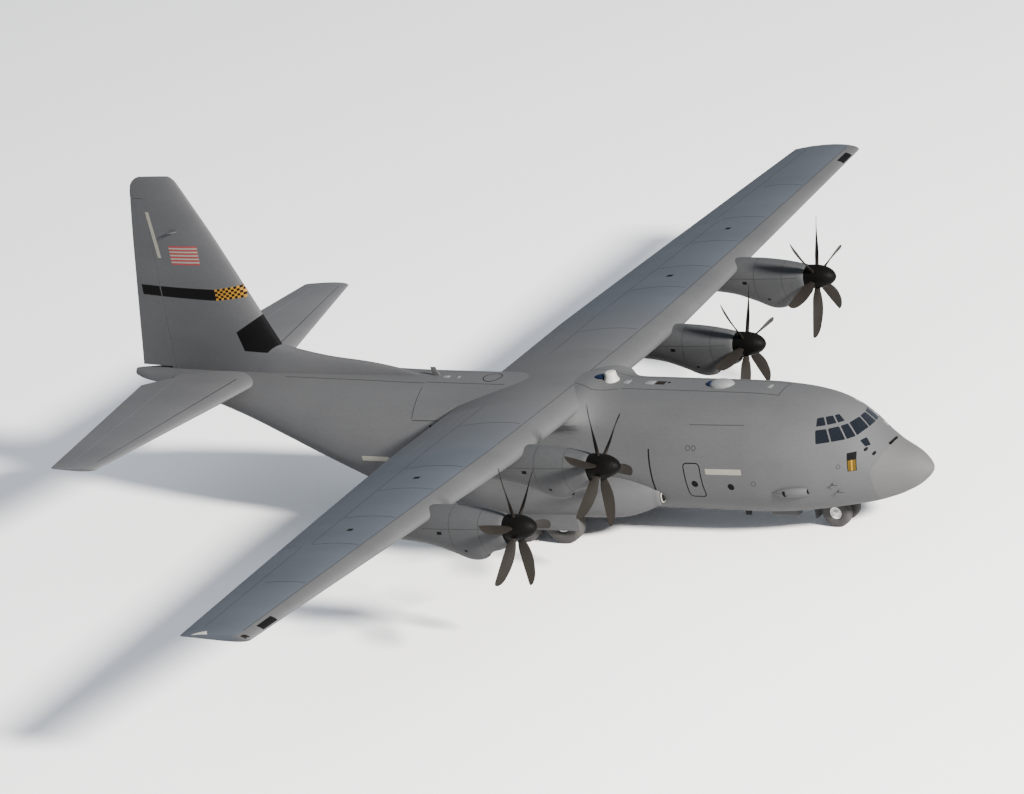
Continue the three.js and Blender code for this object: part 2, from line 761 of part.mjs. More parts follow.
// Tail
const STABILIZER_SPANS = [-8025, -7900, 0, 7900, 8025];
const stabilizerWhole = panelBody(STABILIZER, STABILIZER_SPANS);
const stabilizerRoom = panelBody(STABILIZER, STABILIZER_SPANS, SEAT);
const elevatorLine = (u) => {
  const [, lead, chord] = stationOf(STABILIZER, u);
  return (27740 - 0.053 * Math.abs(u) - lead) / chord;
};
const rudderLine = (u) => {
  const [, lead, chord] = stationOf(FIN, u);
  return (28080 - 0.026 * (u - 4920) - lead) / chord;
};
const ELEVATOR_SPAN = [700, 7560];
const RUDDER_SPAN = [5050, 11080];
const FOOT = 130; // how far the fixed structure goes behind a hinge line, beside the inboard pin
const TAIL_WALL = 45; // skin, ribs and spars of the tail together

// The elevators' inboard ends lean outboard, clear of the rudder.
const elevatorNotch = (side) =>
  planPlate(
    [
      [0, 27900],
      [side * 700, 27900],
      [side * 1230, 29300],
      [side * 1230, 29900],
      [0, 29900],
    ],
    4000,
    5500,
  );
const elevators = {};
const elevatorRooms = [];
for (const [name, side] of sides) {
  const [u0, u1] = spansOn(side, ELEVATOR_SPAN);
  const { moving, room } = hingedSurface(STABILIZER, elevatorLine, u0, u1, stabilizerWhole);
  elevators[`elevator_${name}`] = cut(moving, elevatorNotch(side));
  elevatorRooms.push(room);
}
const tailEnd = 27740 + FOOT;
const stabilizerHollow = hollowBody(STABILIZER, [-7200, 0, 7200], TAIL_WALL);
const stabilizer = largest(
  cut(
    stabilizerWhole,
    elevatorRooms,
    slab(tailEnd, LENGTH + 200).intersect(block([-760, 27000, 4000], [760, 30000, 5500])),
    stabilizerHollow,
    block([-260, 25200, 4400], [260, 26300, 4740]),
  ),
);

const finWhole = panelBody(FIN, FIN.stations.map((row) => row[0]));
const { moving: rudderWhole, room: rudderRoom } = hingedSurface(
  FIN,
  rudderLine,
  RUDDER_SPAN[0],
  RUDDER_SPAN[1],
  finWhole,
);

// Dorsal fillet ahead of the fin: station, half width at its foot, crest
const DORSAL = [
  [18400, 60, 4845],
  [19100, 100, 5050],
  [20300, 150, 5270],
  [21900, 200, 5460],
  [23280, 240, 5740],
  [24200, 260, 6000],
];
const dorsal = loft(
  DORSAL.map(([s, half, crest]) => [
    [-half * 1.5, yOf(s), 4300],
    [-half, yOf(s), crest - 0.45 * (crest - 4700)],
    [-half * 0.4, yOf(s), crest],
    [half * 0.4, yOf(s), crest],
    [half, yOf(s), crest - 0.45 * (crest - 4700)],
    [half * 1.5, yOf(s), 4300],
  ]),
);
const rudderFoot = (u) => rudderLine(u) + FOOT / stationOf(FIN, u)[2];
const finHollow = hollowBody(FIN, [4300, 5900, 6400, 9750, 11200], TAIL_WALL);
const fin = largest(
  cut(
    joined(finWhole, dorsal),
    hullCutter,
    stabilizerRoom,
    rudderRoom,
    behind(FIN, rudderFoot, 4300, RUDDER_SPAN[0] + END_GAP),
    finHollow,
  ),
);
const rudder = cut(rudderWhole, hullCutter);

// Ramp: its axis runs low across the fuselage, on two lugs that stand in slots of the ramp
const RAMP_LUG = { x: 700, half: 40, over: 48, ahead: 190, behind: 42, pin: 16, reach: 40 };
const rampLevel = hullUnder(RAMP.hinge, RAMP_LUG.x) + RAMP_LUG.over;
const rampAxis = (x) => [x, RAMP.hinge, rampLevel];
const rampNose = rampLevel - hullUnder(RAMP.hinge, 0);
const rampLean = Math.tan(THREE.MathUtils.degToRad(25)); // of its rear face
const rampFace = RAMP.hinge + RUN; // its front face

function rampOutline(room) {
  const under = hullUnder(RAMP.end, 0);
  const top = under + RAMP.tip;
  const end = RAMP.end + room;
  const front = rampFace - room;
  const high = room > 0 ? 400 : 0;
  return [
    [front, -500],
    [front, FLOOR_TOP + high],
    [end - rampLean * (top - under + high), top + high],
    [end, under],
    [end + rampLean * (under + 500), -500],
  ];
}

const rampLugs = (grow) =>
  [-1, 1].map((side) => {
    const { x, half, ahead, behind: aft } = RAMP_LUG;
    const [from, to] = [side * x - half - grow, side * x + half + grow];
    const arm = block(
      [from, RAMP.hinge - ahead, rampLevel - 300],
      [to, RAMP.hinge, rampLevel + aft + grow],
    );
    if (grow === 0) return joined(arm, bar(rampAxis(from), rampAxis(to), aft, aft, 20));
    const clear = block(
      [from, RAMP.hinge - 1, rampLevel - 300],
      [to, RAMP.hinge + aft + grow, rampLevel + aft + grow],
    );
    return joined(arm, clear);
  });
const rampPins = (grow) =>
  [-1, 1].map((side) => {
    const { x, half, pin, reach } = RAMP_LUG;
    const far = half + RUN + reach;
    return bar(rampAxis(side * x - far), rampAxis(side * x + far), pin + grow, pin + grow, PIN_SIDES);
  });
const rampNoseBar = (half, radius) => bar(rampAxis(-half), rampAxis(half), radius, radius, 24);
const ramp = joined(
  cut(
    hullOuter.intersect(
      joined(
        sidePlate(rampOutline(0), -RAMP.half, RAMP.half),
        rampNoseBar(RAMP.half, rampNose - 1),
      ),
    ),
    rampLugs(RUN),
  ),
  rampPins(0),
);
const rampRoom = joined(
  sidePlate(rampOutline(30), -RAMP.half - RUN, RAMP.half + RUN),
  rampNoseBar(RAMP.half + RUN, rampNose + RUN + 10),
);

// Cargo door: plan outline, cut from the underside of the tail
const cargoOutline = (room) => [
  [-CARGO_DOOR.half0 - room, CARGO_DOOR.s0 - room],
  [CARGO_DOOR.half0 + room, CARGO_DOOR.s0 - room],
  [CARGO_DOOR.half1 + room, CARGO_DOOR.s1 + room],
  [-CARGO_DOOR.half1 - room, CARGO_DOOR.s1 + room],
];
const cargoZone = (room) => planPlate(cargoOutline(room), -500, 4300);
const underside = sidePlate(
  [
    [19000, -500],
    [19000, 3000],
    [21400, 3000],
    [27000, 4600],
    [27000, -500],
  ],
  -3000,
  3000,
);
const CARGO_PIN = { radius: 16, over: 62, inside: 60, reach: 30 };
const cargoHalf = (s) => {
  const { s0, s1, half0, half1 } = CARGO_DOOR;
  return half0 + ((half1 - half0) * (s - s0)) / (s1 - s0);
};
const cargoHingeHalf = cargoHalf(CARGO_DOOR.hinge);
const cargoLevel = hullUnder(CARGO_DOOR.hinge, cargoHingeHalf) + CARGO_PIN.over;
const cargoPins = (grow) =>
  [-1, 1].map((side) => {
    const { radius, inside, reach } = CARGO_PIN;
    const [from, to] = [cargoHingeHalf - inside, cargoHingeHalf + RUN + reach + (grow > 0 ? 6 : 0)];
    const point = (x) => [side * x, CARGO_DOOR.hinge, cargoLevel];
    return bar(point(from), point(to), radius + grow, radius + grow, PIN_SIDES);
  });
const cargoSkin = cut(hullOuter, liningBody(CARGO_DOOR.skin));
const cargoDoor = joined(
  cut(
    cargoSkin.intersect(cargoZone(0)).intersect(underside),
    sidePlate(rampOutline(55), -3000, 3000),
  ),
  cargoPins(0),
);

const troopZone = (room) =>
  sides.map(([, side]) =>
    block(
      [side * 1000, TROOP_DOOR.s0 - room, TROOP_DOOR.z0 - room],
      [side * 3000, TROOP_DOOR.s1 + room, TROOP_DOOR.z1 + room],
    ),
  );
const troopDoors = troopZone(0).map((zone) => shell.intersect(zone));
const centreFuselage = cut(
  shell.intersect(slab(FLIGHT_DECK_END, HOLD_END - SEAT)),
  wingRoom,
  troopZone(SEAT),
);
const aftFuselage = joined(
  cut(
    shell.intersect(slab(HOLD_END, LENGTH + 100)),
    rampRoom,
    cargoZone(25).intersect(underside),
    cargoPins(PIN_FIT),
    stabilizerRoom.intersect(slab(24000, tailEnd + SEAT)),
    rudderRoom,
  ),
  cut(hullOuter.intersect(joined(rampLugs(0))), rampPins(PIN_FIT)),
);

const cargoFloor = lining.intersect(
  sidePlate(
    [
      [FLIGHT_DECK_END + 60, FLOOR_TOP - FLOOR_DEPTH],
      [RAMP.hinge - 240, FLOOR_TOP - FLOOR_DEPTH],
      [RAMP.hinge - 140, FLOOR_TOP - 100],
      [RAMP.hinge - 20, FLOOR_TOP - 100],
      [RAMP.hinge - 20, FLOOR_TOP],
      [FLIGHT_DECK_END + 60, FLOOR_TOP],
    ],
    -3000,
    3000,
  ),
);

// Nacelles: station, half width, height over the axis, depth under it
const NACELLE = [
  [9230, 430, 400, 640],
  [9600, 480, 470, 770],
  [9950, 520, 530, 870],
  [10200, 540, 565, 1080],
  [10700, 565, 615, 1130],
  [11300, 580, 640, 890],
  [12000, 570, 620, 640],
  [13000, 480, 400, 520],
  [14000, 340, 200, 470],
  [14700, 250, 60, 420],
];
const ENGINE = { radius: 365, s0: 9450, s1: 12600 };
const ENGINES = [
  // name, x of its axis, height of its axis, turn of its propeller in degrees
  ["1", 10180, 4240, 19],
  ["2", 4970, 3980, 26],
  ["3", -4970, 3980, -3],
  ["4", -10180, 4240, -10],
];

const NACELLE_SIDES = 14;
function nacelleRing(x, z, [s, half, up, down]) {
  return Array.from({ length: NACELLE_SIDES }, (_, i) => {
    const angle = (i / NACELLE_SIDES) * 2 * Math.PI;
    const rise = Math.sin(angle);
    return [x + half * Math.cos(angle), yOf(s), z + (rise > 0 ? up : down) * rise];
  });
}

const SPINNER = { tip: 8200, base: 9200, radius: 400 };
const BLADES = 6;
const PROP_RADIUS = 2055;
const PROP_PLANE = 8900;

const SHAFT = { radius: 60, from: 9150 };
const nacelles = {};
const engines = {};
const propellers = {};
for (const [name, x, z, turn] of ENGINES) {
  const blank = loft(NACELLE.map((row) => nacelleRing(x, z, row)));
  const rod = (s0, s1, radius, sides, drop = 0) =>
    bar([x, s0, z + drop], [x, s1, z + 2 * drop], radius, radius, sides);
  const bay = rod(ENGINE.s0 - SEAT, ENGINE.s1 + SEAT, ENGINE.radius + SEAT * 2, 16);
  const exhaust = rod(ENGINE.s1 - 50, 14900, 190, 12, -120);
  const socket = socketRadius(SHAFT.radius, SHAFT_SIDES);
  const shaftRoom = rod(SHAFT.from - 50, ENGINE.s0 + 10, socket, SHAFT_SIDES);
  nacelles[`nacelle_${name}`] = largest(cut(blank, wingRoom, bay, exhaust, shaftRoom));
  engines[`engine_${name}`] = largest(
    cut(rod(ENGINE.s0, ENGINE.s1, ENGINE.radius, 16), wingRoom),
  );
  propellers[`propeller_${name}`] = propeller(x, z, turn);
}

// A propeller: spinner, six swept blades and the shaft behind it
function propeller(x, z, turn) {
  const profile = [
    [0, SPINNER.base],
    [SPINNER.radius, SPINNER.base],
    [SPINNER.radius, 8900],
    [360, 8620],
    [250, 8370],
    [110, 8230],
    [0, SPINNER.tip],
  ];
  const points = profile.map(([r, s]) => new THREE.Vector2(r, s));
  const spinner = bodyOf(new THREE.LatheGeometry(points, 16).translate(0, -LENGTH / 2, 0));
  // Blade: radius, chord, twist in degrees, sweep of its middle, thickness
  const rows = [
    [250, 170, 62, 0, 120],
    [700, 310, 52, 0, 60],
    [1300, 370, 38, 0, 36],
    [1800, 290, 30, -60, 22],
    [PROP_RADIUS, 120, 26, -150, 12],
  ];
  const section = [
    [-0.5, 0],
    [-0.2, 0.5],
    [0.15, 0.5],
    [0.5, 0],
    [0, -0.4],
  ];
  const blade = loft(
    rows.map(([radius, chord, twist, sweep, thick]) => {
      const angle = THREE.MathUtils.degToRad(twist);
      return section.map(([c, t]) => {
        const along = c * chord + sweep;
        const over = t * thick;
        return [
          -along * Math.cos(angle) - over * Math.sin(angle),
          PROP_PLANE - LENGTH / 2 - along * Math.sin(angle) + over * Math.cos(angle),
          radius,
        ];
      });
    }),
  );
  const spread = Array.from({ length: BLADES }, (_, i) =>
    blade.rotate([0, (360 / BLADES) * i + turn, 0]),
  );
  const [shaftStart, shaftEnd] = [SHAFT.from, ENGINE.s0 - 20].map((s) => [0, s, 0]);
  const shaft = bar(shaftStart, shaftEnd, SHAFT.radius, SHAFT.radius, SHAFT_SIDES);
  return joined(spinner, spread, shaft).translate([x, 0, z]);
}

// Sponsons over the main gear: station, middle x, middle z, half width, half height
const SPONSON = [
  [8760, 1960, 1560, 60, 90],
  [9000, 1900, 1600, 270, 320],
  [9500, 1800, 1620, 560, 560],
  [10200, 1650, 1620, 900, 760],
  [11000, 1550, 1620, 1120, 810],
  [12500, 1550, 1620, 1150, 820],
  [14500, 1550, 1620, 1150, 820],
  [15600, 1550, 1650, 1090, 790],
  [16500, 1680, 1750, 780, 620],
  [17050, 1880, 1850, 330, 320],
];
const SPONSON_SIDES = 20;
const SPONSON_POWER = 0.85;
const WELL_ROOF = 1650;
const wheelWell = (side) =>
  block([side * 1600, 11720, -100], [side * 2500, 14890, WELL_ROOF]);

function sponsonBlank(side, grow) {
  return loft(
    SPONSON.map(([s, x, z, half, high]) =>
      Array.from({ length: SPONSON_SIDES }, (_, i) => {
        const angle = (i / SPONSON_SIDES) * 2 * Math.PI;
        const [c, n] = [Math.cos(angle), Math.sin(angle)];
        return [
          side * (x + (half + grow) * Math.sign(c) * Math.abs(c) ** SPONSON_POWER),
          yOf(s),
          z + (high + grow) * Math.sign(n) * Math.abs(n) ** SPONSON_POWER,
        ];
      }),
    ),
  );
}
const sponsonBody = (side) => largest(cut(sponsonBlank(side, 0), hullCutter, wheelWell(side)));

// Wheels
const tyreProfile = (radius, width, rim) => [
  [-width * 0.38, rim],
  [-width * 0.5, rim + (radius - rim) * 0.35],
  [-width * 0.47, rim + (radius - rim) * 0.75],
  [-width * 0.25, radius],
  [width * 0.25, radius],
  [width * 0.47, rim + (radius - rim) * 0.75],
  [width * 0.5, rim + (radius - rim) * 0.35],
  [width * 0.38, rim],
];
const hubProfile = (rim, width, bore) => [
  [-width * 0.4, bore],
  [-width * 0.4, rim * 0.45],
  [-width * 0.2, rim * 0.55],
  [-width * 0.36, rim - SEAT],
  [width * 0.36, rim - SEAT],
  [width * 0.2, rim * 0.55],
  [width * 0.4, rim * 0.45],
  [width * 0.4, bore],
];

const WHEEL_SIDES = 16;
const AXLE = 60;
const RIM = 290;
const STRUT = { x: 1790, radius: 85, low: 560 };
const gear = {};
for (const [name, side] of sides) {
  const x = side * MAIN_GEAR.x;
  const strutX = side * STRUT.x;
  const struts = MAIN_GEAR.stations.map((s) =>
    joined(
      bar([strutX, s, STRUT.low], [strutX, s, WELL_ROOF - SEAT], STRUT.radius, STRUT.radius, 12),
      bar([strutX, s, MAIN_GEAR.radius], [x + side * 250, s, MAIN_GEAR.radius], AXLE, AXLE, 12),
    ),
  );
  const [front, rear] = MAIN_GEAR.stations;
  const beam = bar([strutX, front, 1000], [strutX, rear, 1000], 55, 55, 8);
  gear[`main_leg_${name}`] = largest(cut(joined(struts, beam), hullCutter));
  MAIN_GEAR.stations.forEach((s, i) => {
    const place = ["front", "rear"][i];
    const middle = [x, s, MAIN_GEAR.radius];
    const tyre = tyreProfile(MAIN_GEAR.radius, MAIN_GEAR.width, RIM);
    const hub = hubProfile(RIM, MAIN_GEAR.width, AXLE + PIN_FIT);
    gear[`main_tyre_${name}_${place}`] = turnedX(tyre, middle, WHEEL_SIDES);
    gear[`main_hub_${name}_${place}`] = turnedX(hub, middle, WHEEL_SIDES);
  });
  gear[`main_gear_door_${name}`] = largest(
    cut(
      block([side * 2510, 11760, 560], [side * 2550, 14850, 1300]),
      sponsonBlank(side, SEAT),
    ),
  );
}

const NOSE_LEG = { outer: 115, inner: 80, low: 1080, deep: 1320, axle: 50, rim: 200 };
const upright = (z0, z1, radius) =>
  bar([0, NOSE_GEAR.s, z0], [0, NOSE_GEAR.s, z1], radius, radius, SHAFT_SIDES);
const noseCross = (half, radius) =>
  bar(
    [-half, NOSE_GEAR.s, NOSE_GEAR.radius],
    [half, NOSE_GEAR.s, NOSE_GEAR.radius],
    radius,
    radius,
    SHAFT_SIDES,
  );
const noseStrut = cut(
  upright(NOSE_LEG.low, DECK_TOP - DECK_DEPTH - SEAT, NOSE_LEG.outer),
  upright(NOSE_LEG.low - 80, NOSE_LEG.deep, socketRadius(NOSE_LEG.inner, SHAFT_SIDES)),
);
const noseFork = cut(
  joined(
    upright(400, NOSE_LEG.deep - 20, NOSE_LEG.inner),
    block([-100, NOSE_GEAR.s - 110, 400], [100, NOSE_GEAR.s + 110, 590]),
  ),
  noseCross(500, socketRadius(NOSE_LEG.axle, SHAFT_SIDES)),
);
const noseWheel = (profile, side) =>
  turnedX(profile, [side * NOSE_GEAR.track, NOSE_GEAR.s, NOSE_GEAR.radius], WHEEL_SIDES);
const noseHubs = joined(
  noseCross(470, NOSE_LEG.axle),
  [-1, 1].map((side) =>
    noseWheel(hubProfile(NOSE_LEG.rim, NOSE_GEAR.width, NOSE_LEG.axle - 5), side),
  ),
);
const noseTyre = (side) =>
  noseWheel(tyreProfile(NOSE_GEAR.radius, NOSE_GEAR.width, NOSE_LEG.rim), side);
const noseGearDoor = cut(
  block([-420, NOSE_WELL.s1 + SEAT, 260], [420, NOSE_WELL.s1 + 40, 900]),
  hullCutter,
);

// Finishes: colour, roughness, metalness
const FINISH = {
  paint: [0x6b6d70, 0.55, 0.1],
  darkPaint: [0x3a3c3e, 0.6, 0.1],
  black: [0x1c1b1a, 0.45, 0.1],
  glass: [0x1a2026, 0.08, 0.0],
  rubber: [0x151515, 0.85, 0.0],
  metal: [0xb4b6b8, 0.35, 0.9],
  cabin: [0x50545a, 0.8, 0.0],
};

const model = new THREE.Group();
function node(name, body, finish) {
  const [color, roughness, metalness] = FINISH[finish];
  const mesh = new THREE.Mesh(
    geometryOf(body),
    new THREE.MeshStandardMaterial({ color, roughness, metalness }),
  );
  mesh.name = name;
  model.add(mesh);
}
const nodes = (bodies, finish) =>
  Object.entries(bodies).forEach(([name, body]) => node(name, body, finish));

node("radome", radome, "paint");
node("flight_deck_shell", flightDeckShell, "paint");
node("cockpit_glazing", cockpitGlazing, "glass");
node("flight_deck_floor", flightDeckFloor, "cabin");
node("centre_fuselage", centreFuselage, "paint");
node("cargo_floor", cargoFloor, "cabin");
node("aft_fuselage", aftFuselage, "paint");
node("crew_door", crewDoor, "paint");
node("ramp", ramp, "paint");
node("cargo_door", cargoDoor, "paint");
node("wing_centre", wingCentre, "paint");
nodes(wings, "paint");
nodes(flaps, "paint");
nodes(ailerons, "paint");
node("stabilizer", stabilizer, "paint");
nodes(elevators, "paint");
node("fin", fin, "paint");
node("rudder", rudder, "paint");
nodes(nacelles, "paint");
nodes(engines, "metal");
nodes(propellers, "black");
sides.forEach(([name, side], i) => {
  node(`sponson_${name}`, sponsonBody(side), "paint");
  node(`paratroop_door_${name}`, troopDoors[i], "paint");
  node(`pilot_seat_${name}`, pilotSeat(side * 720), "cabin");
  node(`nose_tyre_${name}`, noseTyre(side), "rubber");
});
for (const [name, body] of Object.entries(gear))
  node(name, body, name.includes("tyre") ? "rubber" : "metal");
node("nose_strut", noseStrut, "metal");
node("nose_fork", noseFork, "metal");
node("nose_wheel_hubs", noseHubs, "metal");
node("nose_gear_door", noseGearDoor, "paint");

model.scale.setScalar(SCALE);
export default model;
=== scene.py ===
# %% [markdown]
# # A four-engined transport plane, parked
#
# The frame is the plane's solid model at half size: closed bodies with flat faces and true joints.
# This lesson gives each of them a smooth surface, its finish and its small fittings. Every size
# in the tables below is a full-size one in metres, and a single function turns it into a place
# in the half-size frame, so that both models keep the same numbers.

import math

import bmesh
import bpy
from mathutils import Matrix, Vector


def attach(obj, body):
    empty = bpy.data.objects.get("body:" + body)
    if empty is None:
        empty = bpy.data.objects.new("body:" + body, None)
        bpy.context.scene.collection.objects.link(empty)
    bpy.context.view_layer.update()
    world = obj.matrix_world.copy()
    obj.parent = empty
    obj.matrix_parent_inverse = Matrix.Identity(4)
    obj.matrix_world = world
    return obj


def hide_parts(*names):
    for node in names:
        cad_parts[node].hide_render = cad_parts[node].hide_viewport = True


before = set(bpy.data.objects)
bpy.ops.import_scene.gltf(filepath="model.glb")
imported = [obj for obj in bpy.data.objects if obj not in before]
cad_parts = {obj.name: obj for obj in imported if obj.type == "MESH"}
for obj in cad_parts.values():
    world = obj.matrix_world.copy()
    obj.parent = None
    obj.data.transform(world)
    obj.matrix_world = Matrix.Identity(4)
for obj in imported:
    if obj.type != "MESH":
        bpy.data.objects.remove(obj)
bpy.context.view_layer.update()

# %% [markdown]
# ## Places, pieces and cuts
# A station s is a distance aft of the nose tip, x goes to the left wing and z up from the ground.
# A piece starts as a bmesh, and becomes an object that rides on one body of the frame. Where a
# real panel is cut out of a larger one, the piece is cut too, with the Boolean modifier, which
# keeps the curved surface of both sides in line. That would be hard to get by modelling each
# panel alone.

# %% Places in the half-size frame
SCALE = 0.5
LENGTH = 29.79
SIDES = (("left", 1), ("right", -1))
scene = bpy.context.scene


def at(x, s, z):
    """A place in the frame, from full-size metres."""
    return Vector((x * SCALE, (s - LENGTH / 2) * SCALE, z * SCALE))


def full_size(place):
    """The full-size x, station and height of a place in the frame."""
    return place.x / SCALE, place.y / SCALE + LENGTH / 2, place.z / SCALE


# %% From a bmesh to a piece
def piece_of(bm, name, material=None, smooth=30):
    """Turns a bmesh into an object, with its sharp edges marked by angle."""
    bmesh.ops.recalc_face_normals(bm, faces=bm.faces)
    mesh = bpy.data.meshes.new(name)
    bm.to_mesh(mesh)
    bm.free()
    piece = bpy.data.objects.new(name, mesh)
    scene.collection.objects.link(piece)
    if material:
        mesh.materials.append(material)
    shade(piece, smooth)
    return piece


def shade(piece, angle=30):
    """Smooth shading, apart from edges that bend more than the angle."""
    piece.data.shade_smooth()
    piece.data.set_sharp_from_angle(angle=math.radians(angle))


# %% Cutting one piece with another
tools = []


def apply_modifiers(piece):
    """Keeps what the modifiers make as the piece's own mesh."""
    depsgraph = bpy.context.evaluated_depsgraph_get()
    made = bpy.data.meshes.new_from_object(piece.evaluated_get(depsgraph))
    made.name = piece.name
    piece.modifiers.clear()
    old = piece.data
    piece.data = made
    bpy.data.meshes.remove(old)


def cut(piece, *cutters, how="DIFFERENCE"):
    """Cuts the piece with each cutter in turn, an object or a bmesh."""
    for cutter in cutters:
        modifier = piece.modifiers.new("cut", "BOOLEAN")
        modifier.operation = how
        modifier.solver = "MANIFOLD"
        modifier.object = cutter if isinstance(cutter, bpy.types.Object) else tool(cutter)
        apply_modifiers(piece)


def keep(piece, *cutters):
    """Keeps what the piece shares with each cutter."""
    cut(piece, *cutters, how="INTERSECT")


def join(piece, *others):
    """Joins other bodies to the piece."""
    cut(piece, *others, how="UNION")


def copy_of(piece, name):
    """A second object with its own mesh."""
    made = piece.copy()
    made.data = piece.data.copy()
    made.name = made.data.name = name
    scene.collection.objects.link(made)
    return made


def tool(bm):
    """A shape that only cuts, and goes away at the end."""
    made = piece_of(bm, "tool")
    tools.append(made)
    return made


def mount(piece, *nodes, body="airframe", slot="fuselage_grey"):
    """The piece moves with a body and stands for the nodes, which it hides. The slot is not used."""
    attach(piece, body)
    if nodes:
        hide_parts(*nodes)


def fit(bm, name, material, *nodes, smooth=30, **place):
    """Makes a piece from a bmesh and mounts it."""
    mount(piece_of(bm, name, material, smooth), *nodes, **place)


def repaint(piece, *materials, angle=24):
    """Gives a piece only these finishes, and marks its sharp edges again."""
    piece.data.materials.clear()
    for material in materials:
        piece.data.materials.append(material)
    shade(piece, angle)


# %% Blocks and prisms that cut
def prism(ring, other):
    """A closed body between two outlines of equal count: one face, extruded, and its far end moved."""
    bm = bmesh.new()
    face = bm.faces.new([bm.verts.new(point) for point in ring])
    made = bmesh.ops.extrude_face_region(bm, geom=[face], use_keep_orig=True)["geom"]
    far = [v for v in made if isinstance(v, bmesh.types.BMVert)]
    order = [min(range(len(ring)), key=lambda i: (ring[i] - v.co).length) for v in far]
    for vert, i in zip(far, order):
        vert.co = other[i]
    return bm


def block(x0, s0, z0, x1, s1, z1):
    """A box between two corners."""
    bm = bmesh.new()
    bmesh.ops.create_cube(bm, size=1)
    size = Vector((x1 - x0, s1 - s0, z1 - z0)) * SCALE
    bmesh.ops.scale(bm, vec=size, verts=bm.verts)
    bmesh.ops.translate(bm, vec=at((x0 + x1) / 2, (s0 + s1) / 2, (z0 + z1) / 2), verts=bm.verts)
    return bm


def bevelled(bm, edges, width, segments=2):
    """Rounds some edges of a body."""
    width *= SCALE
    bmesh.ops.bevel(bm, geom=edges, offset=width, segments=segments, profile=0.5, affect="EDGES", material=-1)
    return bm


def side_prism(outline, x0, x1):
    """A side view outline of (s, z) points, from x0 to x1."""
    return prism(*[[at(x, s, z) for s, z in outline] for x in (x0, x1)])


def plan_prism(outline, z0, z1):
    """A plan view outline of (x, s) points, from height z0 to z1."""
    return prism(*[[at(x, s, z) for x, s in outline] for z in (z0, z1)])


# %% [markdown]
# ## The camera, the floor and the light
# The photograph was taken with a long lens from ahead of the right wing tip and a little above
# it, with the frame rolled by twelve degrees. The focal length and the place come from matching
# known points of the aircraft with the picture. The floor is plain and pale. A slightly blue
# surround lights the plane from all sides, and one large soft lamp shines low from the front
# right, where the sun stands in the photograph.

# %% Camera
CAMERA = {
    "right": (0.49273708, -0.8480107, -0.19516153),
    "up": (0.39249632, 0.01642148, 0.91960697),
    "back": (-0.77663171, -0.52972463, 0.34093255),
    "distance": 179.3635,
    "target": (0.0, 15.0232, 4.0966),
    "lens": 193.9,
}
camera = bpy.data.objects.new("camera", bpy.data.cameras.new("camera"))
scene.collection.objects.link(camera)
turn = Matrix([CAMERA["right"], CAMERA["up"], CAMERA["back"]]).transposed()
place = at(*CAMERA["target"]) + Vector(CAMERA["back"]) * CAMERA["distance"] * SCALE
camera.matrix_world = Matrix.Translation(place) @ turn.to_4x4()
camera.data.lens = CAMERA["lens"]
camera.data.sensor_width = 36
camera.data.clip_end = 2000
scene.camera = camera
print("camera at", [round(v, 2) for v in place])


# %% Materials and their nodes
def fill(node, inputs):
    """Each input takes a value, or the output of another node."""
    for key, value in inputs.items():
        if isinstance(value, bpy.types.NodeSocket):
            node.id_data.links.new(value, node.inputs[key])
        else:
            node.inputs[key].default_value = value


def material_of(name, inputs):
    """A material, and these inputs of its shader."""
    material = bpy.data.materials.new(name)
    material.use_nodes = True
    fill(material.node_tree.nodes["Principled BSDF"], inputs)
    return material


def outputs_of(material, kind, inputs, **settings):
    """The outputs of a new node."""
    node = material.node_tree.nodes.new(f"ShaderNode{kind}")
    for key, value in settings.items():
        setattr(node, key, value)
    fill(node, inputs)
    return node.outputs


def ramp_of(material, value, *stops):
    """The colour of a ramp over a value, from two stops of (position, colour)."""
    node = material.node_tree.nodes.new("ShaderNodeValToRGB")
    for element, (position, colour) in zip(node.color_ramp.elements, stops):
        element.position = position
        element.color = (*colour, 1)
    fill(node, {"Fac": value})
    return node.outputs["Color"]


# %% Floor
FLOOR_REACH = 260
floor_bm = bmesh.new()
bmesh.ops.create_grid(floor_bm, x_segments=8, y_segments=8, size=FLOOR_REACH)
floor_finish = material_of("pale floor", {"Base Color": (0.90, 0.90, 0.91, 1), "Roughness": 0.9})
floor = piece_of(floor_bm, "floor", floor_finish)

# %% Light
world = bpy.data.worlds.new("surround")
scene.world = world
world.use_nodes = True
fill(world.node_tree.nodes["Background"], {"Color": (0.82, 0.90, 1.0, 1), "Strength": 0.84})


def lamp(name, place, aim, size, power, colour):
    """A large soft lamp that looks at a point."""
    light = bpy.data.lights.new(name, "AREA")
    light.shape = "DISK"
    light.size = size
    light.energy = power
    light.color = colour
    made = bpy.data.objects.new(name, light)
    scene.collection.objects.link(made)
    made.location = place
    made.rotation_euler = (Vector(aim) - Vector(place)).to_track_quat("-Z", "Y").to_euler()


lamp("key", place=(-28, -84, 44), aim=(0, 0, 2), size=12, power=600000, colour=(1.0, 0.955, 0.89))
print("surround and one lamp")

# %% [markdown]
# ## Reading the tables
# The fuselage, the wings and the tail are each given by a few rows of measures. A smooth curve
# through the rows gives as many sections as the surface needs.

# %% A cubic through the rows of a table
def read_table(rows, place):
    """The columns of a table at a place, its first column."""
    last = len(rows) - 1
    i = max(0, min(last - 1, sum(1 for row in rows if row[0] <= place) - 1))

    def slope(k, column):
        before, after = rows[max(k - 1, 0)], rows[min(k + 1, last)]
        return (after[column] - before[column]) / (after[0] - before[0])

    span = rows[i + 1][0] - rows[i][0]
    t = min(1.0, max(0.0, (place - rows[i][0]) / span))
    t2, t3 = t * t, t * t * t
    return [
        rows[i][c] * (2 * t3 - 3 * t2 + 1)
        + rows[i + 1][c] * (3 * t2 - 2 * t3)
        + span * (slope(i, c) * (t3 - 2 * t2 + t) + slope(i + 1, c) * (t3 - t2))
        for c in range(1, len(rows[0]))
    ]


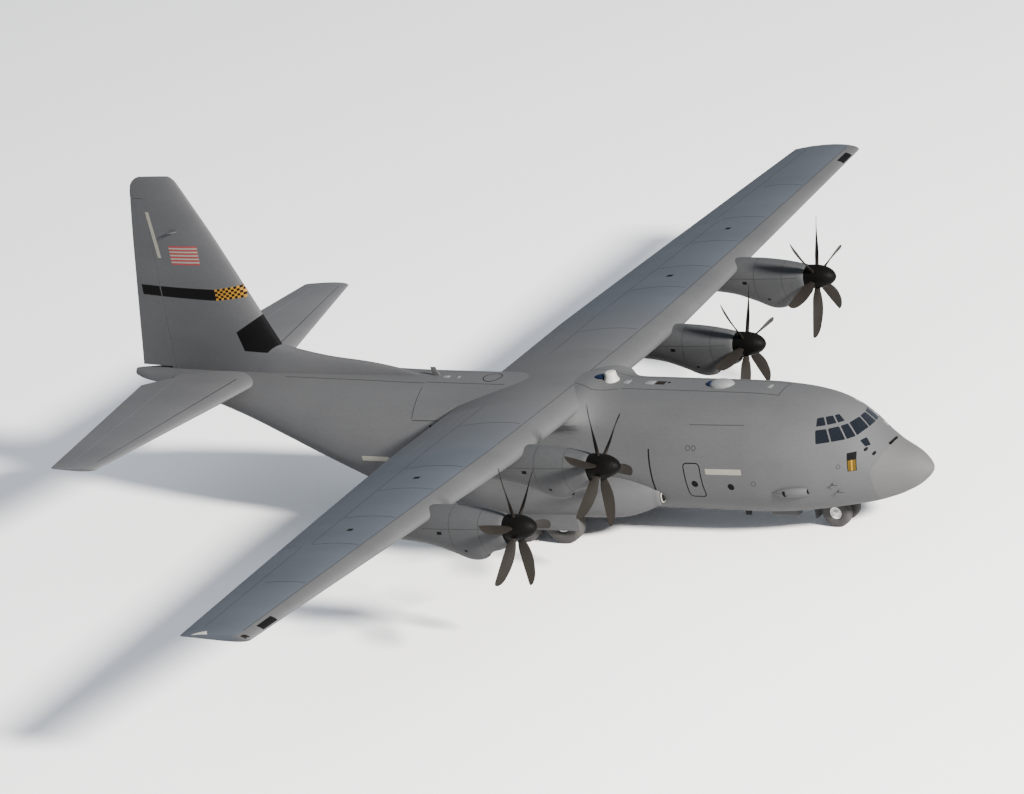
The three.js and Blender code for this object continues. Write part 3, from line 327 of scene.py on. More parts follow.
def wrapped(columns, rows, place):
    """A flat grid of cells, with each point moved to place(column, row)."""
    bm = bmesh.new()
    bmesh.ops.create_grid(bm, x_segments=columns, y_segments=rows, size=0.5)
    for vert in bm.verts:
        column = round((vert.co.x + 0.5) * columns)
        row = round((vert.co.y + 0.5) * rows)
        vert.co = place(column, row)
    bmesh.ops.remove_doubles(bm, verts=bm.verts, dist=1e-6)
    bmesh.ops.holes_fill(bm, edges=bm.edges, sides=0)
    return bm


def lofted(stations, sides, point):
    """A closed body through the stations, whose section is point(station, angle)."""

    def place(column, row):
        return point(stations[row], 2 * math.pi * (column % sides) / sides)

    return wrapped(sides, len(stations) - 1, place)


def spread(start, end, step):
    """Evenly spaced values from start to end, about a step apart, both ends with them."""
    count = max(1, round((end - start) / step))
    return [start + (end - start) * i / count for i in range(count + 1)]

# %% [markdown]
# ## The skin of the fuselage
# The fuselage is a tube whose section is round above and a little square below. Its outside is a
# flat grid of cells wrapped round it, with close stations at the nose, where it bends most. A
# second tube with fewer cells, a wall's depth further in, gives the cabin. Each panel, door and
# window of the real one is then cut from the tube, so that all of them lie in one smooth surface.

# %% Measures of the fuselage
# station, half width, height of the widest line, top, bottom
HULL = [
    [0, 0.060, 1.960, 2.020, 1.900],
    [0.060, 0.205, 1.965, 2.140, 1.800],
    [0.200, 0.360, 1.980, 2.305, 1.650],
    [0.500, 0.610, 1.990, 2.530, 1.430],
    [1.000, 0.880, 2.020, 2.790, 1.200],
    [1.200, 0.980, 2.040, 2.890, 1.130],
    [1.450, 1.100, 2.080, 3.070, 1.060],
    [1.750, 1.230, 2.130, 3.330, 0.980],
    [2.000, 1.330, 2.180, 3.620, 0.930],
    [2.300, 1.450, 2.240, 3.900, 0.885],
    [2.600, 1.560, 2.290, 4.090, 0.845],
    [3.000, 1.700, 2.350, 4.270, 0.795],
    [3.500, 1.860, 2.410, 4.410, 0.735],
    [4.200, 2.020, 2.460, 4.530, 0.665],
    [5.000, 2.110, 2.490, 4.610, 0.612],
    [5.560, 2.140, 2.510, 4.650, 0.600],
    [7.000, 2.150, 2.530, 4.680, 0.608],
    [18.060, 2.150, 2.680, 4.830, 0.755],
    [19.000, 2.150, 2.720, 4.850, 0.900],
    [20.000, 2.130, 2.860, 4.880, 1.330],
    [21.400, 2.060, 3.150, 4.910, 2.110],
    [23.000, 1.820, 3.600, 4.950, 2.880],
    [24.500, 1.480, 3.980, 4.990, 3.480],
    [26.000, 1.080, 4.250, 5.020, 3.920],
    [27.500, 0.690, 4.490, 5.020, 4.300],
    [28.700, 0.400, 4.640, 4.990, 4.440],
    [29.500, 0.230, 4.740, 4.950, 4.560],
    [LENGTH, 0.140, 4.790, 4.925, 4.680],
]
HULL_SQUARE = 2.25
WALL = 0.090
SEAT = 0.0008  # between two fixed panels
RUN = 0.014  # between a moving panel and its frame
THIN_FROM, THIN_TO, THIN_LESS = 16.0, 20.0, 0.035
SKIN_SIDES = 96
LINING_SIDES = 64


def power_of(value, power):
    """A value to a power, with its sign kept."""
    return math.copysign(abs(value) ** power, value)


def hull_point(s, angle, grow=0.0):
    """A point of the skin at a station, angle 0 to the left and a quarter turn up."""
    half, wide, top, bottom = read_table(HULL, s)
    across, rise = math.cos(angle), math.sin(angle)
    if rise >= 0:
        return at((half + grow) * across, s, wide + (top - wide + grow) * rise)
    power = 2 / HULL_SQUARE
    low = (wide - bottom + grow) * abs(rise) ** power
    return at((half + grow) * power_of(across, power), s, wide - low)


def hull_side(s, z):
    """Half width of the skin at a height."""
    half, wide, top, bottom = read_table(HULL, s)
    if z > wide:
        return half * math.sqrt(max(0, 1 - ((z - wide) / (top - wide)) ** 2))
    share = min(1, (wide - z) / (wide - bottom)) ** HULL_SQUARE
    return half * (1 - share) ** (1 / HULL_SQUARE)


def hull_under(s, x):
    """Height of the underside at a distance from the middle."""
    half, wide, _, bottom = read_table(HULL, s)
    share = min(1, abs(x) / half) ** HULL_SQUARE
    return wide - (wide - bottom) * (1 - share) ** (1 / HULL_SQUARE)


# %% The tube, outside and inside
def hull_solid(stations, sides, grow_at):
    """A closed tube through the stations, grown by grow_at(s)."""
    return lofted(stations, sides, lambda s, angle: hull_point(s, angle, grow_at(s)))


def lining_depth(depth):
    """How deep the inner side lies, which is less in the tail."""

    def grow_at(s):
        share = min(1, max(0, (s - THIN_FROM) / (THIN_TO - THIN_FROM)))
        return THIN_LESS * share - depth

    return grow_at


skin_stations = [0, 0.015, 0.035, 0.06, 0.1, 0.15, 0.22]
skin_stations += spread(0.3, 5.56, 0.12) + spread(5.9, 18.06, 0.45) + spread(18.3, LENGTH, 0.25)
lining_stations = spread(0.35, 5.5, 0.2) + spread(6, 18, 0.6) + spread(18.4, 28.95, 0.4)


def tube(grow, stations=skin_stations):
    """The outer tube, grown by the same amount all over."""
    return tool(hull_solid(stations, SKIN_SIDES, lambda s: grow))


skin, skin_wide = tube(0.0), tube(SEAT)
lining = tool(hull_solid(lining_stations, LINING_SIDES, lining_depth(WALL)))
print("skin", len(skin.data.polygons), "faces; lining", len(lining.data.polygons), "faces")

# %% [markdown]
# ## Wings and tail surfaces
# A wing is given by stations along its span: leading edge, chord, height, incidence and
# thickness. Its section is the classic four-digit aerofoil curve. The grid goes round the section
# from the trailing edge, over the nose and back, with points close together at the nose, where a
# coarse curve would show first.

# %% Sections of the wing, the stabilizer and the fin
# span, leading edge, chord, level of the quarter chord, incidence in degrees, thickness over chord
WING = {
    "rows": [
        [0, 11.450, 4.830, 4.432, 2, 0.17],
        [2.200, 11.450, 4.830, 4.444, 2, 0.17],
        [5.590, 11.450, 4.830, 4.480, 2, 0.17],
        [20.100, 12.160, 2.560, 5.010, 0, 0.12],
        [20.205, 12.560, 1.760, 5.030, 0, 0.05],
    ],
    "camber": 0.016,
    "upright": False,
}
STABILIZER = {
    "rows": [
        [0, 24.290, 4.817, 4.740, 0, 0.105],
        [7.900, 26.150, 1.845, 4.740, 0, 0.1],
        [8.025, 26.500, 1.250, 4.740, 0, 0.05],
    ],
    "camber": 0,
    "upright": False,
}
FIN = {
    "rows": [
        [4.300, 23.350, 6.260, 0, 0, 0.11],
        [5.900, 23.660, 5.680, 0, 0, 0.11],
        [6.400, 23.900, 5.360, 0, 0, 0.11],
        [9.750, 25.460, 3.240, 0, 0, 0.11],
        [11.340, 26.290, 2.110, 0, 0, 0.11],
        [11.560, 26.411, 1.919, 0, 0, 0.105],
        [11.700, 26.488, 1.722, 0, 0, 0.10],
        [11.790, 26.600, 1.470, 0, 0, 0.075],
        [11.840, 26.690, 1.230, 0, 0, 0.05],
    ],
    "camber": 0,
    "upright": True,
}
EDGE = 0.007  # half thickness of a trailing edge


def section_of(panel, u):
    """The row of a panel at a place along its span. The last row is reached on a rounded tip."""
    rows, far = panel["rows"], abs(u)
    i = max(0, min(len(rows) - 2, sum(1 for row in rows if row[0] <= far) - 1))
    t = min(1.0, max(0.0, (far - rows[i][0]) / (rows[i + 1][0] - rows[i][0])))
    if i == len(rows) - 2 and panel is not FIN:
        ease = 1 - math.sqrt(max(0, 1 - t * t))
    else:
        ease = t
    return [a + (b - a) * (t if k == 0 else ease) for k, (a, b) in enumerate(zip(*rows[i : i + 2]))]


def half_thickness(panel, u, c):
    """Half the thickness of a panel at a share c of its chord."""
    _, _, chord, _, _, ratio = section_of(panel, u)
    curve = 0.2969 * math.sqrt(c) - 0.126 * c - 0.3516 * c**2 + 0.2843 * c**3 - 0.1036 * c**4
    return 5 * ratio * chord * curve + EDGE * c


def panel_point(panel, u, c, t, ahead=0.0):
    """A point of a panel: along its span, at a share of its chord, and t over its middle line."""
    _, lead, chord, level, incidence, _ = section_of(panel, u)
    tilt = math.radians(incidence)
    bow = panel["camber"] * chord * 4 * c * (1 - c)
    along = (c - 0.25) * chord + ahead
    s = lead + 0.25 * chord + along * math.cos(tilt) + (t + bow) * math.sin(tilt)
    off = level - along * math.sin(tilt) + (t + bow) * math.cos(tilt)
    return at(off, s, u) if panel["upright"] else at(u, s, off)


# %% A smooth aerofoil body
HALF_ROUND = 36


def aerofoil(panel, spans, grow=0.0):
    """A closed body through the sections at the given places along the span."""
    columns = 2 * HALF_ROUND + 1

    def place(column, row):
        step = column % columns
        side = 1 if step <= HALF_ROUND else -1
        share = abs(HALF_ROUND - step) / HALF_ROUND
        c = (1 - math.cos(math.pi * share)) / 2
        u = spans[row]
        if step == HALF_ROUND:
            return panel_point(panel, u, 0, 0, -grow)
        return panel_point(panel, u, c, side * (half_thickness(panel, u, c) + grow))

    return wrapped(columns, len(spans) - 1, place)


def tip_spans(panel):
    """Close stations on the rounded tip."""
    start, end = panel["rows"][-2][0], panel["rows"][-1][0]
    return [start + (end - start) * share for share in (0.0, 0.3, 0.55, 0.75, 0.9, 0.97, 1.0)]

# %% [markdown]
# ## Finishes
# The sides show the plane's own grey. The other greys paint light and shade onto it: the wings get
# a darker, bluer grey as painted shade and painted sky reflection, the fin and the nacelles darker
# greys as painted shade, and the tailplane and the radome lighter greys as a painted highlight. None
# of them is one colour: dust, rain streaks and repairs change it from place to place, so each
# finish mixes a large soft pattern with a fine one. The patterns read Object coordinates, which are
# metres in the frame, and so keep their size on every piece. Both are stretched along the airflow.

# %% A finish with broad and fine variation
def finish(
    name, colour, other, rough=(0.72, 0.85), metallic=0.0, broad=1.2, fine=30.0, bump=0.02, shine=0.25
):
    """A procedural finish: colour drifts towards other, and roughness moves within its two values."""
    material = material_of(name, {"Metallic": metallic, "Specular IOR Level": shine})
    place = outputs_of(material, "TexCoord", {})["Object"]
    stretched = outputs_of(material, "Mapping", {"Vector": place, "Scale": (1.0, 0.35, 1.0)})["Vector"]
    patterns = []
    for scale, detail in ((broad, 5), (fine, 3)):
        inputs = {"Vector": stretched, "Scale": scale, "Detail": detail}
        patterns.append(outputs_of(material, "TexNoise", inputs)["Fac"])
    inputs = {"Factor": 0.3, "A": patterns[0], "B": patterns[1]}
    both = outputs_of(material, "Mix", inputs)["Result"]
    drift = ramp_of(material, both, (0.35, other), (0.62, colour))
    inputs = {"Value": both, "To Min": rough[0], "To Max": rough[1]}
    gloss = outputs_of(material, "MapRange", inputs)["Result"]
    inputs = {"Height": patterns[1], "Strength": 0.25, "Distance": bump}
    relief = outputs_of(material, "Bump", inputs)["Normal"]
    shader = material.node_tree.nodes["Principled BSDF"]
    fill(shader, {"Base Color": drift, "Roughness": gloss, "Normal": relief})
    return material


SIDE_GREY = (0.042, 0.043, 0.0455)
side_grey = finish("grey paint, sides", SIDE_GREY, (0.034, 0.035, 0.0375), bump=0.002)
# The wings' darker, bluer grey is painted shade and painted sky reflection on the sides' paint.
wing_grey = finish("grey paint, wings, painted shade and sky reflection", (0.0335, 0.0395, 0.0495), (0.027, 0.032, 0.041), bump=0.002)
# The fin's slightly darker grey is painted shade on the sides' paint.
fin_shade_grey = finish("grey paint, fin, painted shade", (0.040, 0.041, 0.044), (0.032, 0.033, 0.036), bump=0.002)
# The tailplane's lighter grey is a painted highlight on the sides' paint.
tail_highlight_grey = finish("grey paint, tailplane, painted highlight", (0.058, 0.059, 0.063), (0.048, 0.049, 0.053), bump=0.002)
# The nacelles' darker grey is painted shade on the sides' paint.
cowl_shade_grey = finish("grey paint, nacelles, painted shade", (0.027, 0.028, 0.030), (0.020, 0.021, 0.023), bump=0.002)
# The radome's lighter grey is a painted highlight on the sides' paint.
radome_grey = finish("grey paint, radome, painted highlight", (0.050, 0.050, 0.051), (0.042, 0.042, 0.043), bump=0.001)
cabin_grey = finish("cabin lining", (0.10, 0.11, 0.11), (0.07, 0.08, 0.08), (0.7, 0.85))
dark_brown = finish(
    "blade coating", (0.0080, 0.0068, 0.0058), (0.0050, 0.0043, 0.0037), (0.55, 0.7), bump=0.001, shine=0.05
)
spinner_black = finish(
    "spinner paint", (0.0022, 0.0021, 0.0020), (0.0014, 0.0013, 0.0013), (0.45, 0.6), shine=0.03
)
tyre_black = finish("tyre rubber", (0.020, 0.020, 0.021), (0.032, 0.031, 0.030), (0.8, 0.95), fine=80)
gear_white = finish("gear paint", (0.55, 0.56, 0.56), (0.42, 0.42, 0.41), (0.35, 0.5), broad=4)
bare_metal = finish("bare metal", (0.45, 0.44, 0.42), (0.30, 0.28, 0.26), (0.3, 0.45), metallic=0.9, broad=6)
sooty_metal = finish(
    "exhaust metal", (0.10, 0.08, 0.065), (0.04, 0.035, 0.03), (0.45, 0.7), metallic=0.8, broad=5
)
near_black = finish(
    "dark fittings", (0.0030, 0.0030, 0.0034), (0.0018, 0.0018, 0.0021), (0.6, 0.8), shine=0.04
)


# %% The wing's painted shade and sky reflection fade out near the fuselage
def fade_inboard(material, colour, start, end):
    """Another colour up to one distance from the middle, and the finish's own beyond the next."""
    nodes = material.node_tree.nodes
    own = next(node for node in nodes if node.bl_idname == "ShaderNodeValToRGB")
    place = next(node for node in nodes if node.bl_idname == "ShaderNodeTexCoord")
    across = outputs_of(material, "SeparateXYZ", {"Vector": place.outputs["Object"]})["X"]
    distance = outputs_of(material, "Math", {0: across}, operation="ABSOLUTE")["Value"]
    inputs = {"Value": distance, "From Min": start, "From Max": end}
    fade = outputs_of(material, "MapRange", inputs)["Result"]
    inputs = {"Factor": fade, "A": (*colour, 1), "B": own.outputs["Color"]}
    blend = outputs_of(material, "Mix", inputs, data_type="RGBA")["Result"]
    fill(nodes["Principled BSDF"], {"Base Color": blend})


# Near the middle the wings lose their painted shade and sky reflection and take the sides' grey.
fade_inboard(wing_grey, SIDE_GREY, 1.0, 3.4)
print("finishes:", len(bpy.data.materials))

# %% [markdown]
# ## The panels of the fuselage
# The fuselage is cut into the panels that the real one has: the radome, the flight deck, the
# hold, the tail, and the doors in them. Each is a copy of the outer tube, kept inside its own
# zone, less the inner tube. The inner face gets the cabin's lining and the outer one the paint.

# %% Zones of the panels
HOLD_START, HOLD_END = 5.560, 18.100


def radome_zone(room):
    """Everything ahead of the radome's joint, which leans forward over the top."""
    low, high = 1.6 + room, 1.11 + room
    return side_prism([(-0.1, -0.5), (low, -0.5), (low, 2.3), (high, 2.96), (high, 4), (-0.1, 4)], -2, 2)


def door_zone(side, s0, s1, z0, z1, room, radius):
    """A doorway through one side, with rounded corners."""
    x0, x1 = sorted((side * 1.0, side * 3.0))
    bm = block(x0, s0 - room, z0 - room, x1, s1 + room, z1 + room)
    edges = [e for e in bm.edges if abs((e.verts[0].co - e.verts[1].co).x) > 0.1]
    return bevelled(bm, edges, radius + room, 6)


def slab(s0, s1):
    """The whole fuselage between two stations."""
    return block(-4, s0, -1, 4, s1, 8)


CREW_DOOR = (1, 4.330, 5.110, 1.120, 2.920)
TROOP_DOORS = {name: (side, 17.100, 18.010, 1.180, 3.010) for name, side in SIDES}
NOSE_WELL = (-0.690, 2.840, 0.0, 0.690, 4.270, 1.5)


# %% A panel of the tube
def line_inside(piece, material, second):
    """Repaints a panel. Faces that look at the middle of the tube get the second material."""
    repaint(piece, material, second)
    for face in piece.data.polygons:
        _, s, _ = full_size(face.center)
        middle = at(0, s, read_table(HULL, min(max(s, 0), LENGTH))[1])
        face.material_index = 1 if (face.center - middle).dot(face.normal) < 0 else 0


def panel_of(name, zone, *rooms, material=side_grey):
    """A panel: the tube kept inside a zone, less its rooms."""
    piece = copy_of(skin, name)
    keep(piece, zone)
    cut(piece, lining, *rooms)
    line_inside(piece, material, cabin_grey)
    return piece


radome = panel_of("radome_skin", radome_zone(-SEAT), material=radome_grey)
mount(radome, "radome", slot="radome_grey")
print("radome", len(radome.data.polygons), "faces")

# %% [markdown]
# ## The cockpit windows
# Flat panes would leave gaps on a curved nose, so each window is a prism pushed through the skin:
# the same prism cuts the opening, and cuts the pane from a thinner tube just inside the skin. The
# rows are given by the height and the distance from the middle of each bar.

# %% Rows of panes
LOWER_PANES = [
    # x top, z top, x bottom, z bottom
    (-0.190, 3.770, -0.250, 3.420),
    (0.190, 3.770, 0.250, 3.420),
    (0.670, 3.735, 0.820, 3.350),
    (0.890, 3.725, 1.075, 3.335),
    (1.120, 3.720, 1.325, 3.335),
    (1.290, 3.730, 1.530, 3.335),
]
UPPER_PANES = [
    (0.550, 4.000, 0.665, 3.800),
    (0.695, 4.005, 0.860, 3.795),
    (0.860, 4.015, 1.060, 3.795),
    (0.990, 4.020, 1.220, 3.800),
]
CHIN_PANES = [
    (0.580, 3.245, 0.690, 3.010),
    (0.860, 3.230, 0.880, 3.010),
]
MULLION = 0.024


def nose_station(x, z):
    """Station where the skin is x wide at a height, on the nose."""
    near, far = 0.9, 4.33
    while far - near > 0.0005:
        middle = (near + far) / 2
        if hull_side(middle, z) > abs(x):
            far = middle
        else:
            near = middle
    return far


def pane_prism(start, end, side, inset=0.0, radius=0.035):
    """The prism through the skin between two bars, with rounded corners."""
    ends = [(start[0], start[1]), (end[0], end[1]), (end[2], end[3]), (start[2], start[3])]
    corners = [at(side * x, nose_station(x, z), z) for x, z in ends]
    middle = sum(corners, Vector()) / 4
    across = (corners[1] + corners[2] - corners[0] - corners[3]).normalized()
    down = (corners[2] + corners[3] - corners[0] - corners[1]).normalized()
    out = across.cross(down).normalized()
    narrowed = []
    for corner in corners:
        off = corner - middle
        moved = corner - across * math.copysign((MULLION + inset) * SCALE, off.dot(across))
        narrowed.append(moved - down * math.copysign((MULLION / 2 + inset) * SCALE, off.dot(down)))
    bm = prism(*[[corner + out * far for corner in narrowed] for far in (-0.15, 0.15)])
    edges = [e for e in bm.edges if abs((e.verts[0].co - e.verts[1].co).normalized().dot(out)) > 0.99]
    return bevelled(bm, edges, radius, 5)


def pairs(row):
    """Each bar with the next."""
    return list(zip(row, row[1:]))


def all_panes(inset):
    """Every pane of both sides."""
    first, *others = pairs(LOWER_PANES)
    made = [pane_prism(*first, 1, inset)]
    for start, end in others + pairs(UPPER_PANES) + pairs(CHIN_PANES):
        made += [pane_prism(start, end, side, inset) for side in (1, -1)]
    return made


# %% The flight deck's skin, with its windows
flight_deck = panel_of(
    "flight_deck_skin",
    slab(-1, HOLD_START - SEAT),
    radome_zone(0),
    door_zone(*CREW_DOOR, RUN, 0.09),
    block(*NOSE_WELL),
    *all_panes(0.0),
)
mount(flight_deck, "flight_deck_shell")
print("flight deck", len(flight_deck.data.polygons), "faces")

# %% Dark glass
glass_inputs = {"Roughness": 0.06, "IOR": 1.5, "Specular IOR Level": 0.08, "Transmission Weight": 0.75}
glass = material_of("tinted glass", glass_inputs)
glass_place = outputs_of(glass, "TexCoord", {})["Object"]
glass_noise = outputs_of(glass, "TexNoise", {"Vector": glass_place, "Scale": 2.5})["Fac"]
glass_tint = ramp_of(glass, glass_noise, (0.0, (0.004, 0.006, 0.010)), (1.0, (0.010, 0.014, 0.022)))
fill(glass.node_tree.nodes["Principled BSDF"], {"Base Color": glass_tint})

# %% The panes
glass_outer = tube(-0.012, spread(0.9, 4.4, 0.1))
glass_inner = tube(-0.026, spread(0.8, 4.5, 0.1))
for i, shape in enumerate(all_panes(0.001)):
    pane = piece_of(shape, f"pane_{i + 1:02d}")
    keep(pane, glass_outer)
    cut(pane, glass_inner)
    repaint(pane, glass)
    mount(pane, *([] if i else ["cockpit_glazing"]), slot="cockpit_glass")
print("panes:", i + 1)

# %% [markdown]
# ## The wing box and what meets the fuselage
# The wing passes over the cabin in one piece between the inner engines, so that piece is made
# first: the fuselage needs its shape as a room. The same goes for the tail. A room is the same
# body grown by less than a millimetre, so that the two pieces touch without sharing a face.

# %% Whole aerofoil bodies and the rooms for them
WING_JOINT = 5.590
outer_spans = spread(WING_JOINT, 20.100, 0.9) + tip_spans(WING)[1:]
tail_half = spread(0, 7.900, 0.8) + tip_spans(STABILIZER)[1:]
tail_spans = [-u for u in reversed(tail_half[1:])] + tail_half
fin_spans = spread(4.3, 5.9, 0.4) + spread(6.4, 11.34, 0.6) + [11.55, 11.68, 11.74, 11.78, 11.81, 11.84]


def mirrored(spans, side):
    """The same places on the left or the right wing."""
    return [u * side for u in spans]


centre_half = spread(0, 2.2, 0.55) + spread(2.6, WING_JOINT - SEAT, 0.7)
centre_spans = [-u for u in reversed(centre_half[1:])] + centre_half
wing_centre_whole = tool(aerofoil(WING, centre_spans))
wing_room = tool(aerofoil(WING, centre_spans, SEAT))
stabilizer_whole = tool(aerofoil(STABILIZER, tail_spans))
stabilizer_room = tool(aerofoil(STABILIZER, tail_spans, SEAT))
fin_whole = tool(aerofoil(FIN, fin_spans))
print("stabilizer", len(stabilizer_whole.data.polygons), "faces")

# %% [markdown]
# ## Hinged surfaces
# An aileron, an elevator and the rudder each turn about a line inside the surface. The moving
# part is everything behind that line, with a round nose whose radius is half the thickness there,
# so that no gap opens as it turns. The fixed part has the same shape taken out, a little larger.

# %% The hinge lines
HINGE_RUN = 0.010
END_GAP = 0.012
AILERON_SPAN = (13.560, 19.750)
AILERON_HINGE = 0.77
ELEVATOR_SPAN = (0.700, 7.560)
RUDDER_SPAN = (5.050, 11.080)


def aileron_line(u):
    """The aileron's hinge, as a share of the chord. It is the same at every place u."""
    return AILERON_HINGE


def elevator_line(u):
    """The elevator's hinge, as a share of the chord."""
    _, lead, chord, *_ = section_of(STABILIZER, u)
    return (27.740 - 0.053 * abs(u) - lead) / chord


def rudder_line(u):
    """The rudder's hinge, as a share of the chord."""
    _, lead, chord, *_ = section_of(FIN, u)
    return (28.080 - 0.026 * (u - 4.920) - lead) / chord


# %% Behind a hinge line
def behind(panel, hinge, u0, u1, deep=0.9):
    """Everything behind the hinge line, through the whole thickness."""
    rings = []
    for u in (u0, u1):
        corners = [(hinge(u), -deep), (hinge(u), deep), (1.3, deep), (1.3, -deep)]
        rings.append([panel_point(panel, u, c, t) for c, t in corners])
    return prism(*rings)


def rod(start, end, radius, radius_end=None, sides=32):
    """A round bar or cone between two places, its radii full size."""
    bm = bmesh.new()
    way = end - start
    near, far = radius * SCALE, (radius if radius_end is None else radius_end) * SCALE
    bmesh.ops.create_cone(bm, cap_ends=True, segments=sides, radius1=near, radius2=far, depth=way.length)
    turned = way.to_track_quat("Z", "Y").to_matrix().to_4x4()
    bmesh.ops.transform(bm, matrix=Matrix.Translation((start + end) / 2) @ turned, verts=bm.verts)
    return bm


def hinge_nose(panel, hinge, u0, u1, grow):
    """The round nose of a hinged surface."""
    ends = [panel_point(panel, u, hinge(u), 0) for u in (u0, u1)]
    radii = [half_thickness(panel, u, hinge(u)) + grow for u in (u0, u1)]
    return rod(*ends, *radii, sides=48)


def hinged(name, whole, panel, hinge, span, material):
    """The moving part, and the tools that make its room."""
    u0, u1 = span
    way = math.copysign(END_GAP, u1 - u0)
    inner = (u0 + way, u1 - way)
    piece = copy_of(whole, name)
    keep(piece, behind(panel, hinge, *inner))
    join(piece, hinge_nose(panel, hinge, *inner, -0.001))
    repaint(piece, material)
    rooms = [tool(behind(panel, hinge, u0, u1)), tool(hinge_nose(panel, hinge, u0, u1, HINGE_RUN))]
    return piece, rooms


# %% Elevators, stabilizer and rudder
tail_rooms = []
for name, side in SIDES:
    span = mirrored(ELEVATOR_SPAN, side)
    of_elevator = (stabilizer_whole, STABILIZER, elevator_line, span, tail_highlight_grey)
    piece, rooms = hinged(f"elevator_{name}_skin", *of_elevator)
    notch = [(0, 27.9), (side * 0.7, 27.9), (side * 1.23, 29.3), (side * 1.23, 29.9), (0, 29.9)]
    cut(piece, plan_prism(notch, 4.0, 5.5))
    shade(piece, 24)
    tail_rooms += rooms
    mount(piece, f"elevator_{name}", body=f"elevator_{name}")

FOOT = 0.130  # how far the fixed root reaches behind the hinge lines
tail_end = 27.740 + FOOT
stabilizer = copy_of(stabilizer_whole, "stabilizer_skin")
cut(stabilizer, *tail_rooms, block(-0.76, tail_end, 4.0, 0.76, 30.0, 5.5))
repaint(stabilizer, tail_highlight_grey)
mount(stabilizer, "stabilizer")

rudder, rudder_rooms = hinged("rudder_skin", fin_whole, FIN, rudder_line, RUDDER_SPAN, fin_shade_grey)
cut(rudder, skin_wide)
shade(rudder, 24)
mount(rudder, "rudder", body="rudder")
print("rudder", len(rudder.data.polygons), "faces")

# %% [markdown]
# ## The fin and its fillet
# A long low fillet runs from the hold up into the fin's leading edge. It is a small loft whose
# section is round at the crest and spreads towards the fuselage.

# %% The fillet
# station, half width at its foot, crest
FILLET = [
    [18.400, 0.060, 4.845],
    [19.100, 0.100, 5.050],
    [20.300, 0.150, 5.270],
    [21.900, 0.200, 5.460],
    [23.280, 0.240, 5.740],
    [24.200, 0.260, 6.000],
    [25.200, 0.220, 6.060],
]
fillet_stations = spread(18.4, 25.2, 0.3)
FILLET_STEPS = 16


def fillet_point(column, row):
    """Round over the crest, and out to the foot on both sides."""
    s = fillet_stations[row]
    half, crest = read_table(FILLET, s)
    share = column / FILLET_STEPS * 2 - 1
    if column > FILLET_STEPS:
        return at(0, s, 4.2)
    width = half * 1.5 * share
    return at(width, s, crest - (crest - 4.35) * abs(share) ** 3.2)


fillet = tool(wrapped(FILLET_STEPS + 1, len(fillet_stations) - 1, fillet_point))
fin = copy_of(fin_whole, "fin_skin")
join(fin, fillet)


def rudder_foot(u):
    """The fixed structure below the rudder reaches a little behind the hinge line."""
    return rudder_line(u) + FOOT / section_of(FIN, u)[2]


cut(fin, skin_wide, stabilizer_room, *rudder_rooms)
cut(fin, behind(FIN, rudder_foot, 4.2, RUDDER_SPAN[0] + END_GAP))
repaint(fin, fin_shade_grey)
mount(fin, "fin")
print("fin", len(fin.data.polygons), "faces")

# %% [markdown]
# ## Hold, tail, ramp and doors
# The hold's panel gives way to the wing and to the two side doors behind it. The underside of the
# tail opens in two parts: the ramp, whose axis lies low across the fuselage, and the cargo door,
# which swings up into the tail about its rear end.

# %% Outlines of the ramp and the cargo door
RAMP_HALF, RAMP_HINGE, RAMP_END, RAMP_TIP = 1.270, 18.530, 21.400, 0.170
LUG_X, LUG_HALF, LUG_OVER, LUG_AHEAD, LUG_BEHIND = 0.700, 0.040, 0.048, 0.190, 0.042
CARGO = {"s0": 21.430, "s1": 25.250, "half0": 1.250, "half1": 0.620, "skin": 0.120, "hinge": 25.190}
FLOOR_TOP = 1.180
ramp_level = hull_under(RAMP_HINGE, LUG_X) + LUG_OVER
ramp_nose = ramp_level - hull_under(RAMP_HINGE, 0)
RAMP_LEAN = math.tan(math.radians(25))


def ramp_outline(room):
    """The ramp's side view."""
    under = hull_under(RAMP_END, 0)
    top = under + RAMP_TIP
    end = RAMP_END + room
    front = RAMP_HINGE + RUN - room
    high = 0.4 if room > 0 else 0.0
    return [
        (front, -0.5),
        (front, FLOOR_TOP + high),
        (end - RAMP_LEAN * (top - under + high), top + high),
        (end, under),
        (end + RAMP_LEAN * (under + 0.5), -0.5),
    ]


def cargo_outline(room):
    """The cargo door's plan view."""
    s0, s1, half0, half1 = (CARGO[k] for k in ("s0", "s1", "half0", "half1"))
    front = [(-half0 - room, s0 - room), (half0 + room, s0 - room)]
    return front + [(half1 + room, s1 + room), (-half1 - room, s1 + room)]


UNDERSIDE = [(19.0, -0.5), (19.0, 3.0), (21.4, 3.0), (27.0, 4.6), (27.0, -0.5)]


def ramp_rod(half, radius, x=0.0):
    """A round bar on the ramp's axis."""
    return rod(at(x - half, RAMP_HINGE, ramp_level), at(x + half, RAMP_HINGE, ramp_level), radius)


# %% The lugs that carry the ramp
def lug_arm(side, grow):
    """The part of a lug ahead of the axis, and with grow its whole room."""
    middle = side * LUG_X
    behind_axis = LUG_BEHIND + grow if grow else 0.0
    return block(
        middle - LUG_HALF - grow,
        RAMP_HINGE - LUG_AHEAD,
        ramp_level - 0.3,
        middle + LUG_HALF + grow,
        RAMP_HINGE + behind_axis,
        ramp_level + LUG_BEHIND + grow,
    )


for name, side in SIDES[::-1]:
    lug = piece_of(lug_arm(side, 0.0), f"ramp_lug_{name}", side_grey)
    join(lug, ramp_rod(LUG_HALF, LUG_BEHIND, side * LUG_X))
    keep(lug, skin)
    shade(lug)
    mount(lug)

# %% Hold, tail, ramp, cargo door
centre = panel_of(
    "hold_skin",
    slab(HOLD_START, HOLD_END - SEAT),
    *[door_zone(*door, SEAT, 0.12) for door in TROOP_DOORS.values()],
)
cut(centre, wing_room)
line_inside(centre, side_grey, cabin_grey)
mount(centre, "centre_fuselage")

